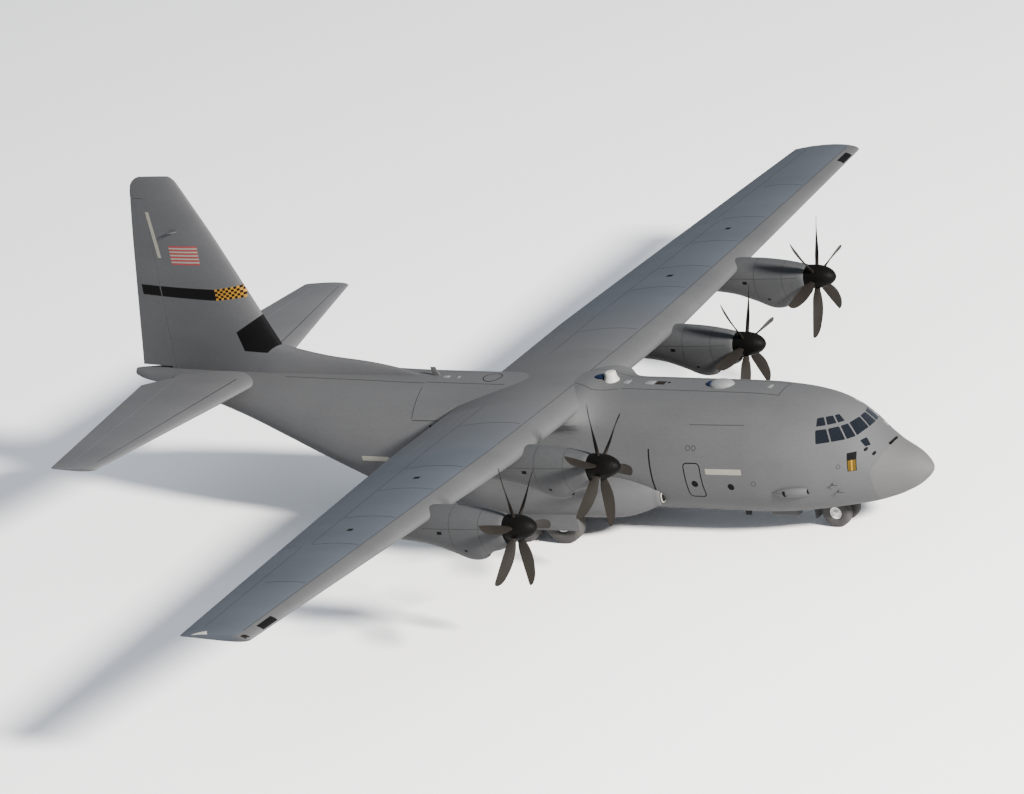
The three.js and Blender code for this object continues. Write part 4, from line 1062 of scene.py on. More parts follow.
under_room = tool(plan_prism(cargo_outline(0.025), -0.5, 4.3))
keep(under_room, side_prism(UNDERSIDE, -3, 3))
tail = panel_of(
    "tail_skin",
    slab(HOLD_END, LENGTH + 0.1),
    side_prism(ramp_outline(0.030), -RAMP_HALF - RUN, RAMP_HALF + RUN),
    ramp_rod(RAMP_HALF + RUN, ramp_nose + RUN + 0.010),
)
stabilizer_slot = copy_of(stabilizer_room, "slot")
tools.append(stabilizer_slot)
keep(stabilizer_slot, slab(24.0, tail_end + SEAT))
cut(tail, under_room, stabilizer_slot, *rudder_rooms)
line_inside(tail, side_grey, cabin_grey)
mount(tail, "aft_fuselage")

ramp = copy_of(skin, "ramp_skin")
ramp_body = tool(side_prism(ramp_outline(0.0), -RAMP_HALF, RAMP_HALF))
join(ramp_body, ramp_rod(RAMP_HALF, ramp_nose - 0.001))
keep(ramp, ramp_body)
cut(ramp, *[lug_arm(side, RUN) for side in (-1, 1)])
repaint(ramp, side_grey)
mount(ramp, "ramp", body="ramp")

cargo_lining = tool(hull_solid(lining_stations, LINING_SIDES, lining_depth(CARGO["skin"])))
cargo_zone = tool(plan_prism(cargo_outline(0.0), -0.5, 4.3))
keep(cargo_zone, side_prism(UNDERSIDE, -3, 3))
cargo_door = copy_of(skin, "cargo_door_skin")
keep(cargo_door, cargo_zone)
cut(cargo_door, cargo_lining, side_prism(ramp_outline(0.055), -3, 3))
line_inside(cargo_door, side_grey, cabin_grey)
mount(cargo_door, "cargo_door", body="cargo_door")
print("tail", len(tail.data.polygons), "faces; ramp", len(ramp.data.polygons))

# %% The doors in the sides
crew_door = panel_of("crew_door_skin", door_zone(*CREW_DOOR, 0.0, 0.09))
mount(crew_door, "crew_door", body="crew_door")
for name, door in TROOP_DOORS.items():
    troop_door = panel_of(f"paratroop_door_{name}_skin", door_zone(*door, 0.0, 0.12))
    mount(troop_door, f"paratroop_door_{name}")

# %% [markdown]
# ## Wings, flaps and ailerons
# A flap of this wing isn't hinged inside it: it rolls back and down on tracks, about an axis well
# below. So its front is a slanted cove rather than a round nose. The cove is a prism in the
# section of the wing, cut out of the wing at full size, and the flap is what the same prism keeps
# when it is moved back by a small running gap.

# %% The room of a flap
FLAP = {"nose": 0.72, "lip": 0.82, "shroud": 0.040, "under": 0.035}
FLAP_SPANS = {"inner": (2.250, 5.500), "outer": (5.680, 13.420)}
OUTER_END_GAP = 0.044
FAR = 0.6


def flap_zone(span, inset):
    """The cove of a flap, or with an inset the flap itself."""
    rings = []
    for u in span:
        chord = section_of(WING, u)[2]
        step = inset / chord
        under = FLAP["under"] if inset > 0 else 0.0
        nose, lip = FLAP["nose"], FLAP["lip"]
        nose_top = half_thickness(WING, u, nose) - FLAP["shroud"] - under
        lip_top = half_thickness(WING, u, lip) - 0.7 * FLAP["shroud"] - under
        corners = [
            (nose + step, -FAR),
            (nose + step, nose_top),
            (lip + step, lip_top),
            (lip + step, FAR),
            (1.25, FAR),
            (1.25, -FAR),
        ]
        rings.append([panel_point(WING, u, c, t) for c, t in corners])
    return prism(*rings)


def flap_piece(name, whole, span):
    """A flap: what the cove's prism keeps of the whole wing."""
    piece = copy_of(whole, name)
    keep(piece, flap_zone(span, RUN))
    repaint(piece, wing_grey)
    return piece


# %% Two greys on a wing, one of them with painted shade
EDGE_SHARE = 0.147


def two_greys(piece, inboard=2.0):
    """The leading edge, and the wing over the fuselage, have the fuselage's grey. The rest has the wing grey,
    with its painted shade and sky reflection.
    """
    repaint(piece, wing_grey, side_grey)
    for face in piece.data.polygons:
        u, s, _ = full_size(face.center)
        _, lead, chord, *_ = section_of(WING, u)
        share = (s - lead) / chord
        face.material_index = 1 if share < EDGE_SHARE or abs(u) < inboard else 0


# %% Both wings
wings_room = {}
flap_rooms = {"inner": [], "outer": []}
for name, side in SIDES:
    whole = tool(aerofoil(WING, mirrored(outer_spans, side)))
    i0, i1 = mirrored(FLAP_SPANS["inner"], side)
    o0, o1 = mirrored(FLAP_SPANS["outer"], side)
    gap, wide_gap = side * RUN, side * OUTER_END_GAP
    inner = flap_piece(f"flap_{name}_inner_skin", wing_centre_whole, (i0 + gap, i1 - gap))
    outer = flap_piece(f"flap_{name}_outer_skin", whole, (o0 + gap, o1 - wide_gap))
    for place, flap in (("inner", inner), ("outer", outer)):
        mount(flap, f"flap_{name}_{place}", body=f"flap_{name}_{place}", slot="wing_grey")
    flap_rooms["inner"].append(tool(flap_zone((i0, i1), 0.0)))
    span = mirrored(AILERON_SPAN, side)
    aileron, rooms = hinged(f"aileron_{name}_skin", whole, WING, aileron_line, span, wing_grey)
    mount(aileron, f"aileron_{name}", body=f"aileron_{name}", slot="wing_grey")
    wing = copy_of(whole, f"wing_{name}_skin")
    cut(wing, flap_zone((o0, o1), 0.0), *rooms)
    two_greys(wing)
    mount(wing, f"wing_{name}", slot="wing_grey")
    room_spans = mirrored([WING_JOINT - 0.001, *outer_spans[1:]], side)
    wings_room[side > 0] = tool(aerofoil(WING, room_spans, SEAT))

wing_centre = copy_of(wing_centre_whole, "wing_centre_skin")
cut(wing_centre, *flap_rooms["inner"])
two_greys(wing_centre)
mount(wing_centre, "wing_centre", slot="wing_grey")
print("wing", len(wing.data.polygons), "faces")

# %% [markdown]
# ## The fairing in front of the wing
# Where the wing crosses the fuselage, the skin swells up and outwards to meet the leading edge. The
# fairing is the tube's own section with a bump at the shoulders that grows towards the wing. The
# tube is then cut away from it, so that only the swelling is left.

# %% The swelling
# station, how much it swells
SWELL = [
    [10.100, 0.000],
    [10.600, 0.045],
    [11.000, 0.160],
    [11.300, 0.380],
    [11.500, 0.580],
    [11.800, 0.720],
    [12.300, 0.640],
    [13.200, 0.300],
]
# angle in degrees, share sideways, share upwards
SHOULDER = [
    [0, 0.000, 0.000],
    [20, 0.000, 0.000],
    [32, 0.120, 0.020],
    [42, 0.780, 0.100],
    [50, 1.000, 0.170],
    [60, 0.820, 0.240],
    [75, 0.330, 0.230],
    [90, 0.000, 0.190],
]
swell_stations = spread(10.1, 13.2, 0.1)


def swell_solid(grow):
    """The tube between two stations, swollen at its shoulders."""

    def point(s, angle):
        amount = read_table(SWELL, s)[0]
        upper = math.degrees(math.asin(max(0.0, math.sin(angle))))
        sideways, upwards = read_table(SHOULDER, upper)
        way = math.copysign(1, math.cos(angle)) if upper < 89.9 else 0
        swollen = Vector((way * sideways, 0, upwards)) * amount * SCALE
        return hull_point(s, angle, grow - 0.006) + swollen

    return lofted(swell_stations, SKIN_SIDES, point)


fairing = piece_of(swell_solid(0.0), "wing_fairing", side_grey)
cut(fairing, skin, wing_centre_whole)
repaint(fairing, side_grey)
mount(fairing)
print("fairing", len(fairing.data.polygons), "faces")

# %% [markdown]
# ## Engine nacelles
# Each nacelle starts as a round cowl behind the spinner and runs out to a slim exhaust behind the
# wing. The deep bulge below is the chin, which holds the oil cooler behind its own air inlet. One
# wrapped grid gives the whole body. Its section is part of the formula: above the axis it is an
# ellipse, and below it narrows towards the chin.

# %% Measures of a nacelle
# station, half width, height over the axis, depth under it
NACELLE = [
    [9.230, 0.430, 0.400, 0.640],
    [9.600, 0.480, 0.470, 0.770],
    [9.950, 0.520, 0.530, 0.870],
    [10.200, 0.540, 0.565, 1.080],
    [10.700, 0.565, 0.615, 1.130],
    [11.300, 0.580, 0.640, 0.890],
    [12.000, 0.570, 0.620, 0.640],
    [13.000, 0.480, 0.400, 0.520],
    [14.000, 0.340, 0.200, 0.470],
    [14.700, 0.250, 0.060, 0.420],
]
# number, x of its axis, height of its axis, turn of its propeller in degrees
ENGINES = [
    (1, 10.180, 4.240, 19),
    (2, 4.970, 3.980, 26),
    (3, -4.970, 3.980, -3),
    (4, -10.180, 4.240, -10),
]
NACELLE_SIDES = 72
nacelle_stations = [9.230, 9.245, 9.27] + spread(9.33, 12.2, 0.1) + spread(12.4, 14.7, 0.2)


def nacelle_point(s, angle, shrink=0.0):
    """Offset of the cowl from its axis at a station: across and up."""
    half, up, down = read_table(NACELLE, s)
    lip = 0.035 * (1 - min(1, (s - 9.230) / 0.1)) ** 2
    across, rise = math.cos(angle), math.sin(angle)
    half, up, down = half - lip - shrink, up - lip - shrink, down - lip - shrink
    if rise >= 0:
        return half * across, up * rise
    deep = max(0.0, (down - half) / half)
    pinch = 1 - 0.30 * min(1, deep) * abs(rise) ** 2.2 * (1 - abs(rise) ** 8 * 0.35)
    return half * across * pinch, down * rise


def nacelle_solid(x, z, stations, shrink=0.0):
    """The closed cowl of one engine."""

    def point(s, angle):
        across, rise = nacelle_point(s, angle, shrink)
        return at(x + across, s, z + rise)

    return lofted(stations, NACELLE_SIDES, point)


# %% Cowl, inlets and exhaust
def intake(x, z, s0, s1, half, low, high):
    """A tunnel with a flattened round section, narrower at its far end."""
    level = z + (low + high) / 2
    bm = rod(at(x, s0, level), at(x, s1, level), 1.0, 0.55, 48)
    middle = at(x, (s0 + s1) / 2, level)
    scale = Matrix.Diagonal(Vector((half, 1.0, (high - low) / 2, 1.0)))
    moved = Matrix.Translation(middle) @ scale @ Matrix.Translation(-middle)
    bmesh.ops.transform(bm, matrix=moved, verts=bm.verts)
    return bm


def dark_inside(piece, x, z, holes):
    """Faces of the inlets and the exhaust get the dark materials."""
    for face in piece.data.polygons:
        across, s, rise = full_size(face.center - Vector((x, 0, z)) * SCALE)
        for s0, s1, half, low, high, index in holes:
            middle, tall = (low + high) / 2, (high - low) / 2
            near = (across / half) ** 2 + ((rise - middle) / tall) ** 2
            if s0 < s < s1 and near < 1.03:
                face.material_index = index


CHIN_INLET = (9.6, 10.6, 0.130, -1.020, -0.900)
SHAFT_HOLE = (9.0, 9.45, 0.300, -0.300, 0.300)
EXHAUST = (13.3, 14.9, 0.190, -0.410, -0.030)
for number, x, z, _ in ENGINES:
    nacelle = piece_of(nacelle_solid(x, z, nacelle_stations), f"nacelle_{number}_cowl")
    cut(nacelle, intake(x, z, *CHIN_INLET))
    cut(nacelle, rod(at(x, 9.0, z), at(x, 9.45, z), 0.30))
    cut(nacelle, rod(at(x, 13.3, z - 0.19), at(x, 14.9, z - 0.25), 0.19))
    cut(nacelle, wing_room if abs(x) < WING_JOINT else wings_room[x > 0])
    repaint(nacelle, cowl_shade_grey, near_black, sooty_metal, angle=28)
    dark_inside(nacelle, x, z, [(*CHIN_INLET, 1), (*SHAFT_HOLE, 1), (*EXHAUST, 2)])
    mount(nacelle, f"nacelle_{number}")
print("nacelle", len(nacelle.data.polygons), "faces")

# %% [markdown]
# ## Propellers
# The spinner is a profile spun about its axis. A blade of this kind is broad and swept back like
# a scimitar, thick at its root and twisted along its length. It is a grid wrapped round a thin
# section, one section for each radius. One blade is made, and each spinner gets six turned copies.

# %% Measures of a propeller
SPINNER = [(0.0, 8.200), (0.055, 8.207), (0.110, 8.230), (0.180, 8.285), (0.250, 8.370)]
SPINNER += [(0.310, 8.480), (0.360, 8.620), (0.388, 8.760), (0.400, 8.900), (0.400, 9.200), (0.0, 9.200)]
PROP_PLANE = 8.900
BLADES = 6
# radius, chord, twist in degrees, sweep of its middle, thickness
BLADE = [
    [0.250, 0.170, 62, 0.0, 0.120],
    [0.450, 0.200, 57, 0.0, 0.105],
    [0.700, 0.310, 52, 0.0, 0.060],
    [1.000, 0.360, 45, 0.010, 0.045],
    [1.300, 0.370, 38, 0.0, 0.036],
    [1.600, 0.335, 33, -0.030, 0.028],
    [1.800, 0.290, 30, -0.060, 0.022],
    [1.950, 0.215, 27.5, -0.105, 0.017],
    [2.030, 0.130, 26, -0.140, 0.012],
    [2.055, 0.060, 26, -0.155, 0.008],
]
BLADE_STEPS = 22
blade_radii = spread(0.25, 1.9, 0.075) + [1.95, 1.99, 2.015, 2.035, 2.048, 2.055]


def blade_point(radius, turn_round):
    """Round a blade's section: flat below, crowned above, thickest ahead of the middle."""
    chord, twist, sweep, thick = read_table(BLADE, radius)
    along = math.cos(turn_round) * 0.5
    crown = (1 - (2 * along) ** 2) ** 0.5 * (1 + 0.35 * 2 * along)
    over = crown * (0.62 if turn_round < math.pi else -0.34) * thick
    along = along * chord + sweep
    angle = math.radians(twist)
    return Vector(
        (
            (-along * math.cos(angle) - over * math.sin(angle)) * SCALE,
            (PROP_PLANE - LENGTH / 2 - along * math.sin(angle) + over * math.cos(angle)) * SCALE,
            radius * SCALE,
        )
    )


def spun(profile, axis_place, axis, sides=64):
    """A profile of (radius, offset) points, spun about an axis through a place."""
    bm = bmesh.new()
    side = Vector((1, 0, 0)) if axis.z else Vector((0, 0, 1))
    points = [axis_place + side * radius * SCALE + axis * offset * SCALE for radius, offset in profile]
    verts = [bm.verts.new(point) for point in points]
    edges = [bm.edges.new(pair) for pair in zip(verts, verts[1:])]
    bmesh.ops.spin(
        bm,
        geom=verts + edges,
        cent=axis_place,
        axis=axis,
        angle=2 * math.pi,
        steps=sides,
        use_merge=True,
        use_duplicate=False,
    )
    bmesh.ops.remove_doubles(bm, verts=bm.verts, dist=1e-5)
    return bm


# %% Four propellers
blade = tool(lofted(blade_radii, BLADE_STEPS, blade_point))
for number, x, z, turn_degrees in ENGINES:
    body = f"propeller_{number}"
    centre_point = Vector((x, 0, z)) * SCALE
    profile = [(radius, s - LENGTH / 2) for radius, s in SPINNER]
    nose_bm = spun(profile, centre_point, Vector((0, 1, 0)))
    fit(nose_bm, f"spinner_{number}", spinner_black, body, body=body, slot="propeller_black")
    shaft_bm = rod(at(x, 9.15, z), at(x, 9.43, z), 0.060)
    fit(shaft_bm, f"shaft_{number}", bare_metal, body=body, slot="propeller_black")
    for i in range(BLADES):
        bladed = copy_of(blade, f"blade_{number}_{i + 1}")
        spun_by = math.radians(360 / BLADES * i + turn_degrees)
        bladed.data.transform(Matrix.Translation(centre_point) @ Matrix.Rotation(spun_by, 4, "Y"))
        bladed.data.materials.append(dark_brown)
        shade(bladed, 35)
        mount(bladed, body=body, slot="propeller_black")
print("blade", len(blade.data.polygons), "faces")

# %% [markdown]
# ## The fairings over the main gear
# A long blister on each side covers the main wheels. Its section is a rounded box, drawn out to a
# rounded nose and a tapered end, and cut where it meets the fuselage and over the wheel well.

# %% Measures of a fairing
# station, middle x, middle z, half width, half height
SPONSON = [
    [8.760, 1.960, 1.560, 0.060, 0.090],
    [9.000, 1.900, 1.600, 0.270, 0.320],
    [9.500, 1.800, 1.620, 0.560, 0.560],
    [10.200, 1.650, 1.620, 0.900, 0.760],
    [11.000, 1.550, 1.620, 1.120, 0.810],
    [12.500, 1.550, 1.620, 1.150, 0.820],
    [14.500, 1.550, 1.620, 1.150, 0.820],
    [15.600, 1.550, 1.650, 1.090, 0.790],
    [16.500, 1.680, 1.750, 0.780, 0.620],
    [17.050, 1.880, 1.850, 0.330, 0.320],
]
SPONSON_SIDES = 72
SPONSON_POWER = 0.85
NOSE_END, NOSE_LONG = 9.0, 0.245  # the rounded nose, and what its curve spans
END_START, END_LONG = 16.9, 0.152  # the same for the rear end
sponson_stations = [8.76, 8.77, 8.79, 8.82, 8.87, 8.93] + spread(9.0, 11.0, 0.1) + spread(11.3, 14.5, 0.4)
sponson_stations += spread(14.7, 16.9, 0.15) + [16.95, 17.0, 17.03, 17.05]
WELL = {"x0": 1.600, "x1": 2.500, "s0": 11.720, "s1": 14.890, "roof": 1.650}


def sponson_solid(side, grow=0.0):
    """The closed blister of one side."""

    def point(s, angle):
        x, z, half, high = read_table(SPONSON, s)
        if s < NOSE_END:
            ease = math.sqrt(1 - ((NOSE_END - s) / NOSE_LONG) ** 2) if s > SPONSON[0][0] else 0.05
            first, last = SPONSON[0], SPONSON[1]
            half, high = last[3] * ease, last[4] * ease
            x, z = (first[k] + (last[k] - first[k]) * ease for k in (1, 2))
        if s > END_START:
            ease = math.sqrt(max(0.02, 1 - ((s - END_START) / END_LONG) ** 2))
            half, high = half * (0.45 + 0.55 * ease), high * (0.45 + 0.55 * ease)
        across, rise = math.cos(angle), math.sin(angle)
        return at(
            side * (x + (half + grow) * power_of(across, SPONSON_POWER)),
            s,
            z + (high + grow) * power_of(rise, SPONSON_POWER),
        )

    return lofted(sponson_stations, SPONSON_SIDES, point)


# %% Both fairings
def well_block(side):
    """The room of the main wheels."""
    x0, x1 = sorted((side * WELL["x0"], side * WELL["x1"]))
    return block(x0, WELL["s0"], -0.1, x1, WELL["s1"], WELL["roof"])


for name, side in SIDES:
    sponson = piece_of(sponson_solid(side), f"sponson_{name}_skin", side_grey)
    cut(sponson, skin_wide, well_block(side))
    sponson.data.materials.append(cabin_grey)
    for face in sponson.data.polygons:
        x, s, z = full_size(face.center)
        across = WELL["x0"] - 0.005 < x * side < WELL["x1"] + 0.005
        along = WELL["s0"] - 0.01 < s < WELL["s1"] + 0.01
        upright = abs(face.normal.x) > 0.99 or abs(face.normal.y) > 0.99
        roof = face.normal.z < -0.99 and z > WELL["roof"] - 0.05
        if across and along and z < WELL["roof"] + 0.001 and (upright or roof):
            face.material_index = 1
    shade(sponson, 24)
    mount(sponson, f"sponson_{name}")
print("gear fairing", len(sponson.data.polygons), "faces")

# %% [markdown]
# ## Wheels
# A tyre is a profile spun about its axle: a bead, a curved wall and a nearly flat tread with four
# grooves, as aircraft tyres have no cross pattern. The hub is a second profile with a ring of
# bolts. Spinning gives a perfectly round body with few measures.

# %% Several bodies in one mesh
def gather(*parts):
    """One bmesh that holds all the given ones."""
    whole = bmesh.new()
    for part in parts:
        mesh = bpy.data.meshes.new("part")
        part.to_mesh(mesh)
        part.free()
        whole.from_mesh(mesh)
        bpy.data.meshes.remove(mesh)
    return whole


def softened(bm, width, segments=2):
    """Rounds every sharp edge of a body."""
    edges = [e for e in bm.edges if len(e.link_faces) == 2 and e.calc_face_angle() > math.radians(40)]
    return bevelled(bm, edges, width, segments)


# %% Profiles of a tyre and a hub
# how far up the wall, offset over width, share of the way from rim to tread
TYRE_WALL = [
    [0.0, 0.360, 0.000],
    [0.1, 0.410, 0.040],
    [0.3, 0.475, 0.180],
    [0.5, 0.498, 0.390],
    [0.7, 0.485, 0.640],
    [0.85, 0.430, 0.840],
    [1.0, 0.330, 0.965],
]
GROOVES = (-0.24, -0.08, 0.08, 0.24)
GROOVE = {"half": 0.014, "depth": 0.012}


def tyre_profile(radius, width, rim):
    """Radius and offset of a tyre's closed outline."""
    wall = [read_table(TYRE_WALL, i / 14) for i in range(15)]
    right = [(rim + (radius - rim) * rise, offset * width) for offset, rise in wall]
    tread = []
    for middle in GROOVES:
        crown = radius - 0.10 * (radius - rim) * middle**2
        half, deep = GROOVE["half"], crown - GROOVE["depth"]
        tread += [(crown, (middle - half) * width), (deep, (middle - half * 0.6) * width)]
        tread += [(deep, (middle + half * 0.6) * width), (crown, (middle + half) * width)]
    left = [(r, -offset) for r, offset in right]
    loop = left + tread + right[::-1]
    return loop + [loop[0]]


def hub_profile(rim, width, bore):
    """Radius and offset of a hub's closed outline: flange, dish and boss."""
    half = [
        (bore, 0.42),
        (rim * 0.30, 0.42),
        (rim * 0.36, 0.38),
        (rim * 0.42, 0.26),
        (rim * 0.56, 0.20),
        (rim * 0.74, 0.20),
        (rim * 0.86, 0.27),
        (rim * 0.90, 0.345),
        (rim * 1.02, 0.355),
        (rim * 1.02, 0.330),
        (rim * 0.985, 0.320),
    ]
    right = [(radius, offset * width) for radius, offset in half]
    left = [(radius, -offset) for radius, offset in right[::-1]]
    return right + left + [right[0]]


def wheel_bolts(centre, radius, offset, count, size):
    """A ring of bolt heads on each face of a hub."""
    bolts = []
    for way in (-1, 1):
        for i in range(count):
            angle = 2 * math.pi * i / count
            spot = centre + Vector((0, math.cos(angle), math.sin(angle))) * radius * SCALE
            start = spot + Vector((way * offset * SCALE, 0, 0))
            bolts.append(rod(start, start + Vector((way * 0.022 * SCALE, 0, 0)), size, sides=6))
    return bolts


# %% The main wheels
MAIN_STATIONS = {"front": 12.540, "rear": 14.070}
MAIN_WHEEL = {"x": 2.170, "level": 0.710, "radius": 0.709, "width": 0.510, "rim": 0.290, "bore": 0.063}
ACROSS = Vector((1, 0, 0))


def wheel(name, centre, size, bolts, body, nodes):
    """Tyre and hub about an axle through a centre."""
    tyre_bm = spun(tyre_profile(size["radius"], size["width"], size["rim"]), centre, ACROSS, 96)
    fit(tyre_bm, f"{name}_tyre", tyre_black, nodes[0], body=body, slot="tyres", smooth=35)
    hub_bm = spun(hub_profile(size["rim"], size["width"], size["bore"]), centre, ACROSS, 64)
    ring = wheel_bolts(centre, size["rim"] * 0.65, size["width"] * 0.195, bolts, size["rim"] * 0.05)
    hub_bm = gather(hub_bm, *ring)
    fit(hub_bm, f"{name}_hub", gear_white, *nodes[1:], body=body, slot="gear_metal", smooth=35)


for side_name, side in SIDES:
    for place, s in MAIN_STATIONS.items():
        key = f"{side_name}_{place}"
        spot = at(side * MAIN_WHEEL["x"], s, MAIN_WHEEL["level"])
        nodes = (f"main_tyre_{key}", f"main_hub_{key}")
        wheel(f"main_{key}", spot, MAIN_WHEEL, 10, f"main_wheel_{key}", nodes)

# %% The nose wheels
NOSE_LEG_AT = 3.550
NOSE_WHEEL = {"x": 0.300, "level": 0.495, "radius": 0.494, "width": 0.330, "rim": 0.200, "bore": 0.040}
for side_name, side in SIDES:
    spot = at(side * NOSE_WHEEL["x"], NOSE_LEG_AT, NOSE_WHEEL["level"])
    nodes = [f"nose_tyre_{side_name}"] + (["nose_wheel_hubs"] if side > 0 else [])
    wheel(f"nose_{side_name}", spot, NOSE_WHEEL, 8, "nose_wheels", nodes)
axle = rod(*[at(x, NOSE_LEG_AT, NOSE_WHEEL["level"]) for x in (-0.47, 0.47)], 0.049)
fit(axle, "nose_axle", bare_metal, body="nose_wheels", slot="gear_metal")
print("wheels: 6")

# %% [markdown]
# ## Legs and gear doors
# The main wheels stand one behind the other, each on a stub axle of its own upright leg. The nose
# leg is a cylinder with a piston in it, and the wheels steer with the piston. Two hinged links keep
# the piston from turning by itself. The gear is retracted in the photograph, so these pieces
# follow what is known of such aircraft.

# %% Main legs and their doors
STRUT = {"x": 1.790, "low": 0.560, "sleeve": 1.020, "radius": 0.085, "collar": 0.098, "piston": 0.064}
LINK_DEPTH = 0.018
DOOR_EDGE = 0.008


def post(x, s, low, high, radius, sides=40):
    """An upright bar."""
    return rod(at(x, s, low), at(x, s, high), radius, sides=sides)


def link(start, end, width):
    """A flat bar between two places."""
    bm = rod(start, end, 1.0, sides=12)
    middle, way = (start + end) / 2, (end - start).normalized()
    side_way = ACROSS if abs(way.x) < 0.9 else Vector((0, 1, 0))
    other = way.cross(side_way).normalized()
    for vert in bm.verts:
        off = vert.co - middle
        vert.co = middle + way * off.dot(way)
        vert.co += side_way * off.dot(side_way) * width + other * off.dot(other) * LINK_DEPTH
    return bm


def knee_links(knee, ends, width, half, radius):
    """Flat bars that meet at a knee, and the pin through it."""
    pin = [knee + ACROSS * way * half * SCALE for way in (-1, 1)]
    return [link(end, knee, width) for end in ends] + [rod(*pin, radius, sides=20)]


def add_gear_door(name, side):
    """A main gear door, fixed open beside its well."""
    door_bm = block(side * 2.510, 11.760, 0.560, side * 2.550, 14.850, 1.300)
    gear_door = piece_of(door_bm, f"main_gear_door_{name}_skin")
    rounding = gear_door.modifiers.new("edges", "BEVEL")
    rounding.width = DOOR_EDGE * SCALE
    rounding.segments = 2
    apply_modifiers(gear_door)
    cut(gear_door, sponson_solid(side, 0.001))
    repaint(gear_door, side_grey, angle=30)
    mount(gear_door, f"main_gear_door_{name}")


for name, side in SIDES:
    x = side * STRUT["x"]
    sleeves, pistons = [], []
    for s in MAIN_STATIONS.values():
        low, high = STRUT["sleeve"], WELL["roof"] - 0.002
        sleeves.append(softened(post(x, s, low, high, STRUT["radius"]), 0.01))
        sleeves.append(softened(post(x, s, low, low + 0.07, STRUT["collar"]), 0.01))
        pistons.append(post(x, s, 0.6, low + 0.05, STRUT["piston"]))
        sleeves.append(softened(post(x, s, STRUT["low"], 0.83, STRUT["radius"]), 0.012))
        stub = [at(end, s, MAIN_WHEEL["level"]) for end in (x, side * (MAIN_WHEEL["x"] + 0.25))]
        pistons.append(softened(rod(*stub, 0.059, sides=40), 0.008))
        link_ends = [at(x, s + 0.07, z) for z in (1.10, 0.76)]
        sleeves += knee_links(at(x, s + 0.20, 0.93), link_ends, 0.045, 0.06, 0.02)
    beam = [at(x, s, 1.17) for s in MAIN_STATIONS.values()]
    sleeves.append(softened(rod(*beam, 0.045), 0.008))
    leg = f"main_leg_{name}"
    fit(gather(*sleeves), f"{leg}_sleeves", gear_white, leg, slot="gear_metal")
    fit(gather(*pistons), f"{leg}_pistons", bare_metal, slot="gear_metal")
    add_gear_door(name, side)

# %% Nose leg and its door
leg = softened(post(0, NOSE_LEG_AT, 1.080, 2.018, 0.115, 48), 0.012)
collar = softened(post(0, NOSE_LEG_AT, 1.080, 1.150, 0.135, 48), 0.012)
brace = rod(at(0, NOSE_LEG_AT + 0.05, 1.30), at(0, NOSE_LEG_AT - 0.55, 1.95), 0.035, sides=24)
strut = gather(leg, collar, brace)
fit(strut, "nose_strut_sleeve", gear_white, "nose_strut", slot="gear_metal")
shin = softened(block(-0.100, NOSE_LEG_AT - 0.110, 0.400, 0.100, NOSE_LEG_AT + 0.110, 0.590), 0.03, 4)
link_ends = [at(0, NOSE_LEG_AT - 0.09, z) for z in (0.57, 1.04)]
links = knee_links(at(0, NOSE_LEG_AT - 0.28, 0.86), link_ends, 0.05, 0.07, 0.022)
fork = gather(shin, *links)
fit(fork, "nose_fork_block", gear_white, "nose_fork", body="nose_fork", slot="gear_metal")
piston = post(0, NOSE_LEG_AT, 0.56, 1.20, 0.079)
fit(piston, "nose_fork_piston", bare_metal, body="nose_fork", slot="gear_metal")
door_bm = softened(block(-0.420, 4.271, 0.260, 0.420, 4.310, 0.900), DOOR_EDGE)
nose_door = piece_of(door_bm, "nose_gear_door_skin")
cut(nose_door, skin_wide)
repaint(nose_door, side_grey, angle=30)
mount(nose_door, "nose_gear_door")
print("legs and gear doors made")

# %% [markdown]
# ## Inside
# The floors and the engines keep their shapes from the frame, and get better finishes. The seats
# are upholstery, so they are made again: each cushion is a block whose faces are divided, pushed
# out into a crown and smoothed, which also rounds its edges.

# %% Better finishes for solids that stay
FINISHES = {
    "flight_deck_floor": cabin_grey,
    "cargo_floor": cabin_grey,
    **{f"engine_{number}": bare_metal for number, *_ in ENGINES},
}
for name, material in FINISHES.items():
    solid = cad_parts[name]
    for slot in solid.material_slots:
        slot.material = material
for name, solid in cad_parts.items():
    if solid.material_slots and not solid.hide_render and name not in FINISHES:
        print("still plain:", name)

# %% A crowned cushion
seat_fabric = finish(
    "seat fabric", (0.030, 0.034, 0.040), (0.018, 0.020, 0.025), (0.85, 0.98), fine=220, bump=0.002
)


def cushion(corners, x0, x1, crown, name):
    """A cushion from the side view of its four corners: divided, crowned and smoothed."""
    bm = side_prism(corners, x0, x1)
    bmesh.ops.recalc_face_normals(bm, faces=bm.faces)
    bmesh.ops.subdivide_edges(bm, edges=bm.edges, cuts=5, use_grid_fill=True)
    bm.normal_update()
    middle = sum((v.co for v in bm.verts), Vector()) / len(bm.verts)
    reach = max((v.co - middle).length for v in bm.verts)
    for vert in bm.verts:
        off = (vert.co - middle).length / reach
        vert.co += vert.normal * crown * SCALE * max(0.0, 1 - off**2)
    bmesh.ops.smooth_vert(bm, verts=bm.verts, factor=0.5, use_axis_x=True, use_axis_y=True, use_axis_z=True)
    made = piece_of(bm, name, seat_fabric, 80)
    rounding = made.modifiers.new("soft", "SUBSURF")
    rounding.levels = rounding.render_levels = 2
    return made


